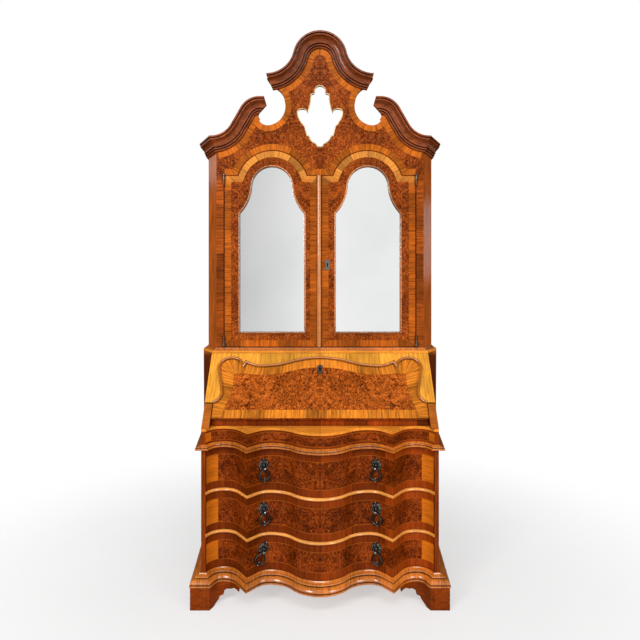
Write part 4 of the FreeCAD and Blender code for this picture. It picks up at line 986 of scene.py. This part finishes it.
def add_rows(work, rows, closed):
    """Skin rows of points, each row a closed loop."""
    made = [[work.verts.new(point * MM) for point in row] for row in rows]
    pairs = list(zip(made, made[1:]))
    if closed:
        pairs.append((made[-1], made[0]))
    for first, second in pairs:
        for j in range(len(first)):
            k = (j + 1) % len(first)
            face = work.faces.new((first[j], first[k], second[k], second[j]))
            face.smooth = True
    if not closed:
        for row in (made[0], made[-1]):
            if len({tuple(v.co) for v in row}) > 2:
                work.faces.new(row)


def add_turned(work, start, way, profile):
    """A small turned knop along a direction."""
    first = way.orthogonal().normalized()
    second = way.cross(first)
    rows = []
    for distance, radius in profile:
        centre = start + way * distance
        rows.append(circle(centre, first, second, max(radius, TURNED_LEAST_R), TURNED_SIDES))
    add_rows(work, rows, False)


def cast_piece(name, work, body, material):
    made = new_piece(name, work, material)
    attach(made, body)
    return made


def cast_ring(label, joint, material):
    """Pear-shaped ring, stout at its foot, with a bud inside and a knop below."""
    hinge, along, out, down = pull_axes(joint)
    work = bmesh.new()
    rows = []
    for turn in full_circle(RING_STEPS):
        drop = RING_L * (1 - math.cos(turn)) / 2
        share = drop / RING_L
        half = RING_TOP_HALF + RING_BELLY * share ** RING_FLARE
        centre = hinge + along * (half * math.sin(turn)) + down * drop
        slope = along * (half * math.cos(turn)) + down * (RING_L * math.sin(turn) / 2)
        side = slope.normalized().cross(out)
        radius = RING_THIN + (RING_STOUT - RING_THIN) * min(1.0, share * RING_SWELL)
        rows.append(circle(centre, side, out, radius, RING_SIDES))
    add_rows(work, rows, True)
    add_turned(work, hinge + down * (RING_L - KNOP_SINK), -down, BUD)
    add_turned(work, hinge + down * (RING_L + KNOP_SINK), down, KNOP)
    ring = cast_piece("cast_ring_" + label, work, "ring_" + label, material)
    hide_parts("ring_" + label)


def cast_flower(label, joint, material):
    """Petalled flower over the rosette, with a knop at its head; its last row lies on the front."""
    hinge, along, out, down = pull_axes(joint)
    centre = hinge - out * RING_STAND_OFF - down * EYE_DROP
    work = bmesh.new()
    rows = []
    for share, raised in [(share, True) for share in FLOWER_ROWS] + [(FLOWER_ROWS[-1], False)]:
        row = []
        for turn in full_circle(FLOWER_SIDES):
            lobe = abs(math.cos(FLOWER_PETALS * turn / 2))
            radius = FLOWER_R * share * (1 - PETAL_NOTCH + PETAL_NOTCH * lobe ** PETAL_POWER)
            petal = PETAL_DOME * math.sin(math.pi * share) * (1 - PETAL_GROOVE + PETAL_GROOVE * lobe)
            heart = HEART_H * math.exp(-(share / HEART_SHARE) ** 2)
            height = FLOWER_RIM + petal + heart if raised else 0.0
            row.append(centre + (along * math.cos(turn) + down * math.sin(turn)) * radius + out * height)
        rows.append(row)
    add_rows(work, rows, False)
    add_turned(work, centre - down * (FLOWER_R - FLOWER_KNOP_IN) + out * FLOWER_RIM, -down, KNOP)
    cast_piece("flower_" + label, work, "drawer_" + label[0], material)


def cast_pulls(materials):
    for joint in frame["record"]["behaviour"]["joints"]:
        if joint["child"].startswith("ring_"):
            label = joint["child"][len("ring_"):]
            cast_ring(label, joint, materials["pewter"])
            cast_flower(label, joint, materials["pewter"])


def darken_keyhole(label, place, body, material):
    """A near-black sheet over the keyhole of a plate: painted shade of the hollow behind it."""
    low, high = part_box(label + "_escutcheon")
    x, y, z = ((a + b) / 2 / MM for a, b in zip(low, high))
    if place is on_panel:
        z = (y - SLOPE_FOOT[0]) * SLOPE_Y + (z - SLOPE_FOOT[1]) * SLOPE_Z
    opening = math.asin(KEY_SLOT_HALF / KEYHOLE_R)
    angles = turns(2 * (math.pi - opening), KEYHOLE_STEPS, opening - math.pi / 2)
    outline = [(KEYHOLE_R * math.cos(t), KEYHOLE_UP + KEYHOLE_R * math.sin(t)) for t in angles]
    outline += [(-KEY_SLOT_HALF, KEY_SLOT_FOOT), (KEY_SLOT_HALF, KEY_SLOT_FOOT)]
    work = bmesh.new()
    work.faces.new([work.verts.new(Vector(place(x + a, z + b, KEYHOLE_LIFT)) * MM) for a, b in outline])
    cast_piece(label + "_keyhole", work, body, material)


def band_doors(materials):
    """Crossbanding and a dark edge round each door, and a bead round its mirror."""
    glass = [(x + MIRROR_X, z) for x, z in mirror_line()]
    for side, sign, meet in (("left", -1, ASTRAGAL_X), ("right", 1, DOOR_MEET_X)):
        body = side + "_door"
        outline = sided(door_line(meet), sign)
        broad = strip_profile(EDGE_LINE * sign, (EDGE_LINE + BAND_W) * sign)
        sweep("door_band_" + side, outline, broad, on_face, body, materials["door_band"], closed=True)
        narrow = strip_profile(0.0, EDGE_LINE * sign)
        sweep("door_edge_" + side, outline, narrow, on_face, body, materials["band_red"], closed=True)
        bead = bead_profile(MIRROR_BEAD_R)
        sweep("mirror_bead_" + side, sided(glass, sign), bead, on_face, body, materials["mirror_bead"],
              closed=True, smooth=True)


def band_pediment(materials):
    """Bands under the cornices, round the notches and over the doorways; a pale edge to the piercing."""
    doorway = [(DOOR_OUTER_X + DOOR_GAP, DOORWAY_Z)] + arch_line(DOORWAY_Z, DOOR_GAP) + [(0.0, DOORWAY_Z)]
    crown = [spot for spot in crown_line(CORNICE_W) if spot[0] < CROWN_BAND_END_X]
    scroll = [spot for spot in scroll_line(CORNICE_W) if NECK_SPANS[-1][2][0] < spot[0] < FACE_X]
    lines = (("crown", crown, VENEER), ("scroll", scroll, VENEER), ("doorway", doorway, VENEER),
             ("notch", span_points(NECK_SPANS), VENEER + OVERLAP_LIFT))
    for name, points, lift in lines:
        for label, sign in (("right", 1), ("left", -1)):
            profile = strip_profile(0.0, -sign * BAND_W, lift)
            piece = "pediment_%s_%s" % (name, label)
            sweep(piece, sided(points, sign), profile, on_face, "carcase", materials["band"])
    right = span_points(PIERCE_SPANS)
    outline = right + sided(right[:0:-1], -1)
    lining = [(0.0, -FACE_WALL), (LINING_W, -FACE_WALL), (LINING_W, VENEER), (-LINING_EDGE_W, VENEER),
              (-LINING_EDGE_W, 0.0)]
    sweep("piercing_lining", outline, lining, on_face, "carcase", materials["lining"], closed=True)


def band_fall(materials):
    """Border inside the sunken panel, the band along its foot and the lip of the raised frame."""
    pale = materials["band_pale"]
    side = [((NOTCH_X, FALL_START), None, PANEL_SIDE[0][0])] + PANEL_SIDE
    borders = (("side", side, FIELD_SIDE, FIELD_SIDE_STEPS),
               ("corner", PANEL_CORNER, FIELD_CORNER, FIELD_SIDE_STEPS),
               ("top", PANEL_TOP, FIELD_TOP, FIELD_TOP_STEPS))
    for label, sign in (("right", 1), ("left", -1)):
        for part, outer, inner, count in borders:
            far, near = (sided(resampled(span_points(spans), count), sign) for spans in (outer, inner))
            ribbon("fall_%s_%s" % (part, label), far, near, on_panel, "fall", pale)
    right = span_points(PANEL_SIDE + PANEL_CORNER + PANEL_TOP)
    line = right + sided(right, -1)[-2::-1]
    sweep("fall_lip", line, bead_profile(LIP_R), on_slope, "fall", materials["lip"], smooth=True)
    foot_x = FIELD_SIDE[0][2][0]
    foot = [(-foot_x, FALL_START), (foot_x, FALL_START)]
    sweep("fall_foot_band", foot, strip_profile(0.0, FALL_FOOT_H), on_panel, "fall", pale)


def area_light(name, place, target, size, power):
    data = bpy.data.lights.new(name, "AREA")
    data.shape = "RECTANGLE"
    data.size, data.size_y = size
    data.energy = power
    lamp = bpy.data.objects.new(name, data)
    lamp.location = place
    lamp.rotation_euler = (Vector(target) - Vector(place)).to_track_quat("-Z", "Y").to_euler()
    bpy.context.scene.collection.objects.link(lamp)


def studio_card(tree):
    """Colour of what polished faces reflect, by direction."""
    across, depth, up = split(tree, node(tree, "ShaderNodeTexCoord").outputs["Generated"])
    place = node(tree, "ShaderNodeMapRange", {0: across, 1: -1.0, 2: 1.0}).outputs[0]
    card = ramp(tree, place, [(at, (level, level, level)) for at, level in CARD_LEVELS])
    near_level = opposite(tree, step(tree, math_node(tree, "ABSOLUTE", up), *CARD_HEIGHT))
    in_front = opposite(tree, step(tree, depth, *CARD_DEPTH))
    return shaded(tree, card, product(tree, near_level, in_front))


def light_studio():
    """Lamps and soft light, with white for the camera and a card for reflections."""
    for name, settings in LIGHTS.items():
        area_light(name, *settings)
    world = bpy.data.worlds.new("studio")
    bpy.context.scene.world = world
    world.use_nodes = True
    tree = world.node_tree
    soft = tree.nodes["Background"]
    fill(tree, soft, {0: WHITE, 1: SOFT_LIGHT})
    white = node(tree, "ShaderNodeBackground", {0: WHITE, 1: 1.0})
    seen = node(tree, "ShaderNodeLightPath").outputs
    share = math_node(tree, "MAXIMUM", seen["Is Camera Ray"], seen["Is Transmission Ray"])
    lit = node(tree, "ShaderNodeMixShader", {0: share, 1: soft.outputs[0], 2: white.outputs[0]})
    shown = node(tree, "ShaderNodeBackground", {0: studio_card(tree), 1: 1.0})
    glossy = {0: seen["Is Glossy Ray"], 1: lit.outputs[0], 2: shown.outputs[0]}
    mixed = node(tree, "ShaderNodeMixShader", glossy)
    tree.links.new(mixed.outputs[0], tree.nodes["World Output"].inputs[0])


def lay_floor():
    """Pale floor that fades into the white background away from the feet."""
    mesh = bpy.data.meshes.new("floor")
    work = bmesh.new()
    bmesh.ops.create_circle(work, cap_ends=True, segments=FLOOR_SIDES, radius=FLOOR_R)
    work.to_mesh(mesh)
    work.free()
    floor = bpy.data.objects.new("floor", mesh)
    bpy.context.scene.collection.objects.link(floor)
    material, tree, shader = new_material("floor")
    tint = ramp(tree, noise(tree, coordinates(tree), *FLOOR_NOISE), FLOOR_STOPS)
    fill(tree, shader, {"Base Color": tint, "Roughness": FLOOR_ROUGH})
    away = node(tree, "ShaderNodeVectorMath", {0: coordinates(tree)}, operation="LENGTH").outputs[1]
    clear = node(tree, "ShaderNodeBsdfTransparent")
    thin = between(tree, step(tree, away, FLOOR_SOLID_R, FLOOR_R), FLOOR_CLEAR)
    fade = node(tree, "ShaderNodeMixShader", {0: thin, 1: shader.outputs[0], 2: clear.outputs[0]})
    tree.links.new(fade.outputs[0], tree.nodes["Material Output"].inputs[0])
    mesh.materials.append(material)


def set_camera():
    data = bpy.data.cameras.new("camera")
    data.sensor_width = SENSOR
    data.lens = SENSOR * FOCAL_PIXELS / PICTURE_PIXELS
    data.shift_y = HORIZON_PIXELS / PICTURE_PIXELS
    data.dof.use_dof = False
    camera = bpy.data.objects.new("camera", data)
    camera.location = CAMERA_AT
    camera.rotation_euler = (math.radians(90), 0.0, 0.0)
    bpy.context.scene.collection.objects.link(camera)
    bpy.context.scene.camera = camera


MATERIALS = make_materials()
finish_nodes(MATERIALS)
cast_pulls(MATERIALS)
# Painted shade: near-black sheets over the keyholes
darken_keyhole("door", on_face, "right_door", MATERIALS["soot"])
darken_keyhole("fall", on_panel, "fall", MATERIALS["soot"])
band_doors(MATERIALS)
band_pediment(MATERIALS)
band_fall(MATERIALS)
light_studio()
lay_floor()
set_camera()
bpy.context.scene.view_settings.view_transform = "Standard"
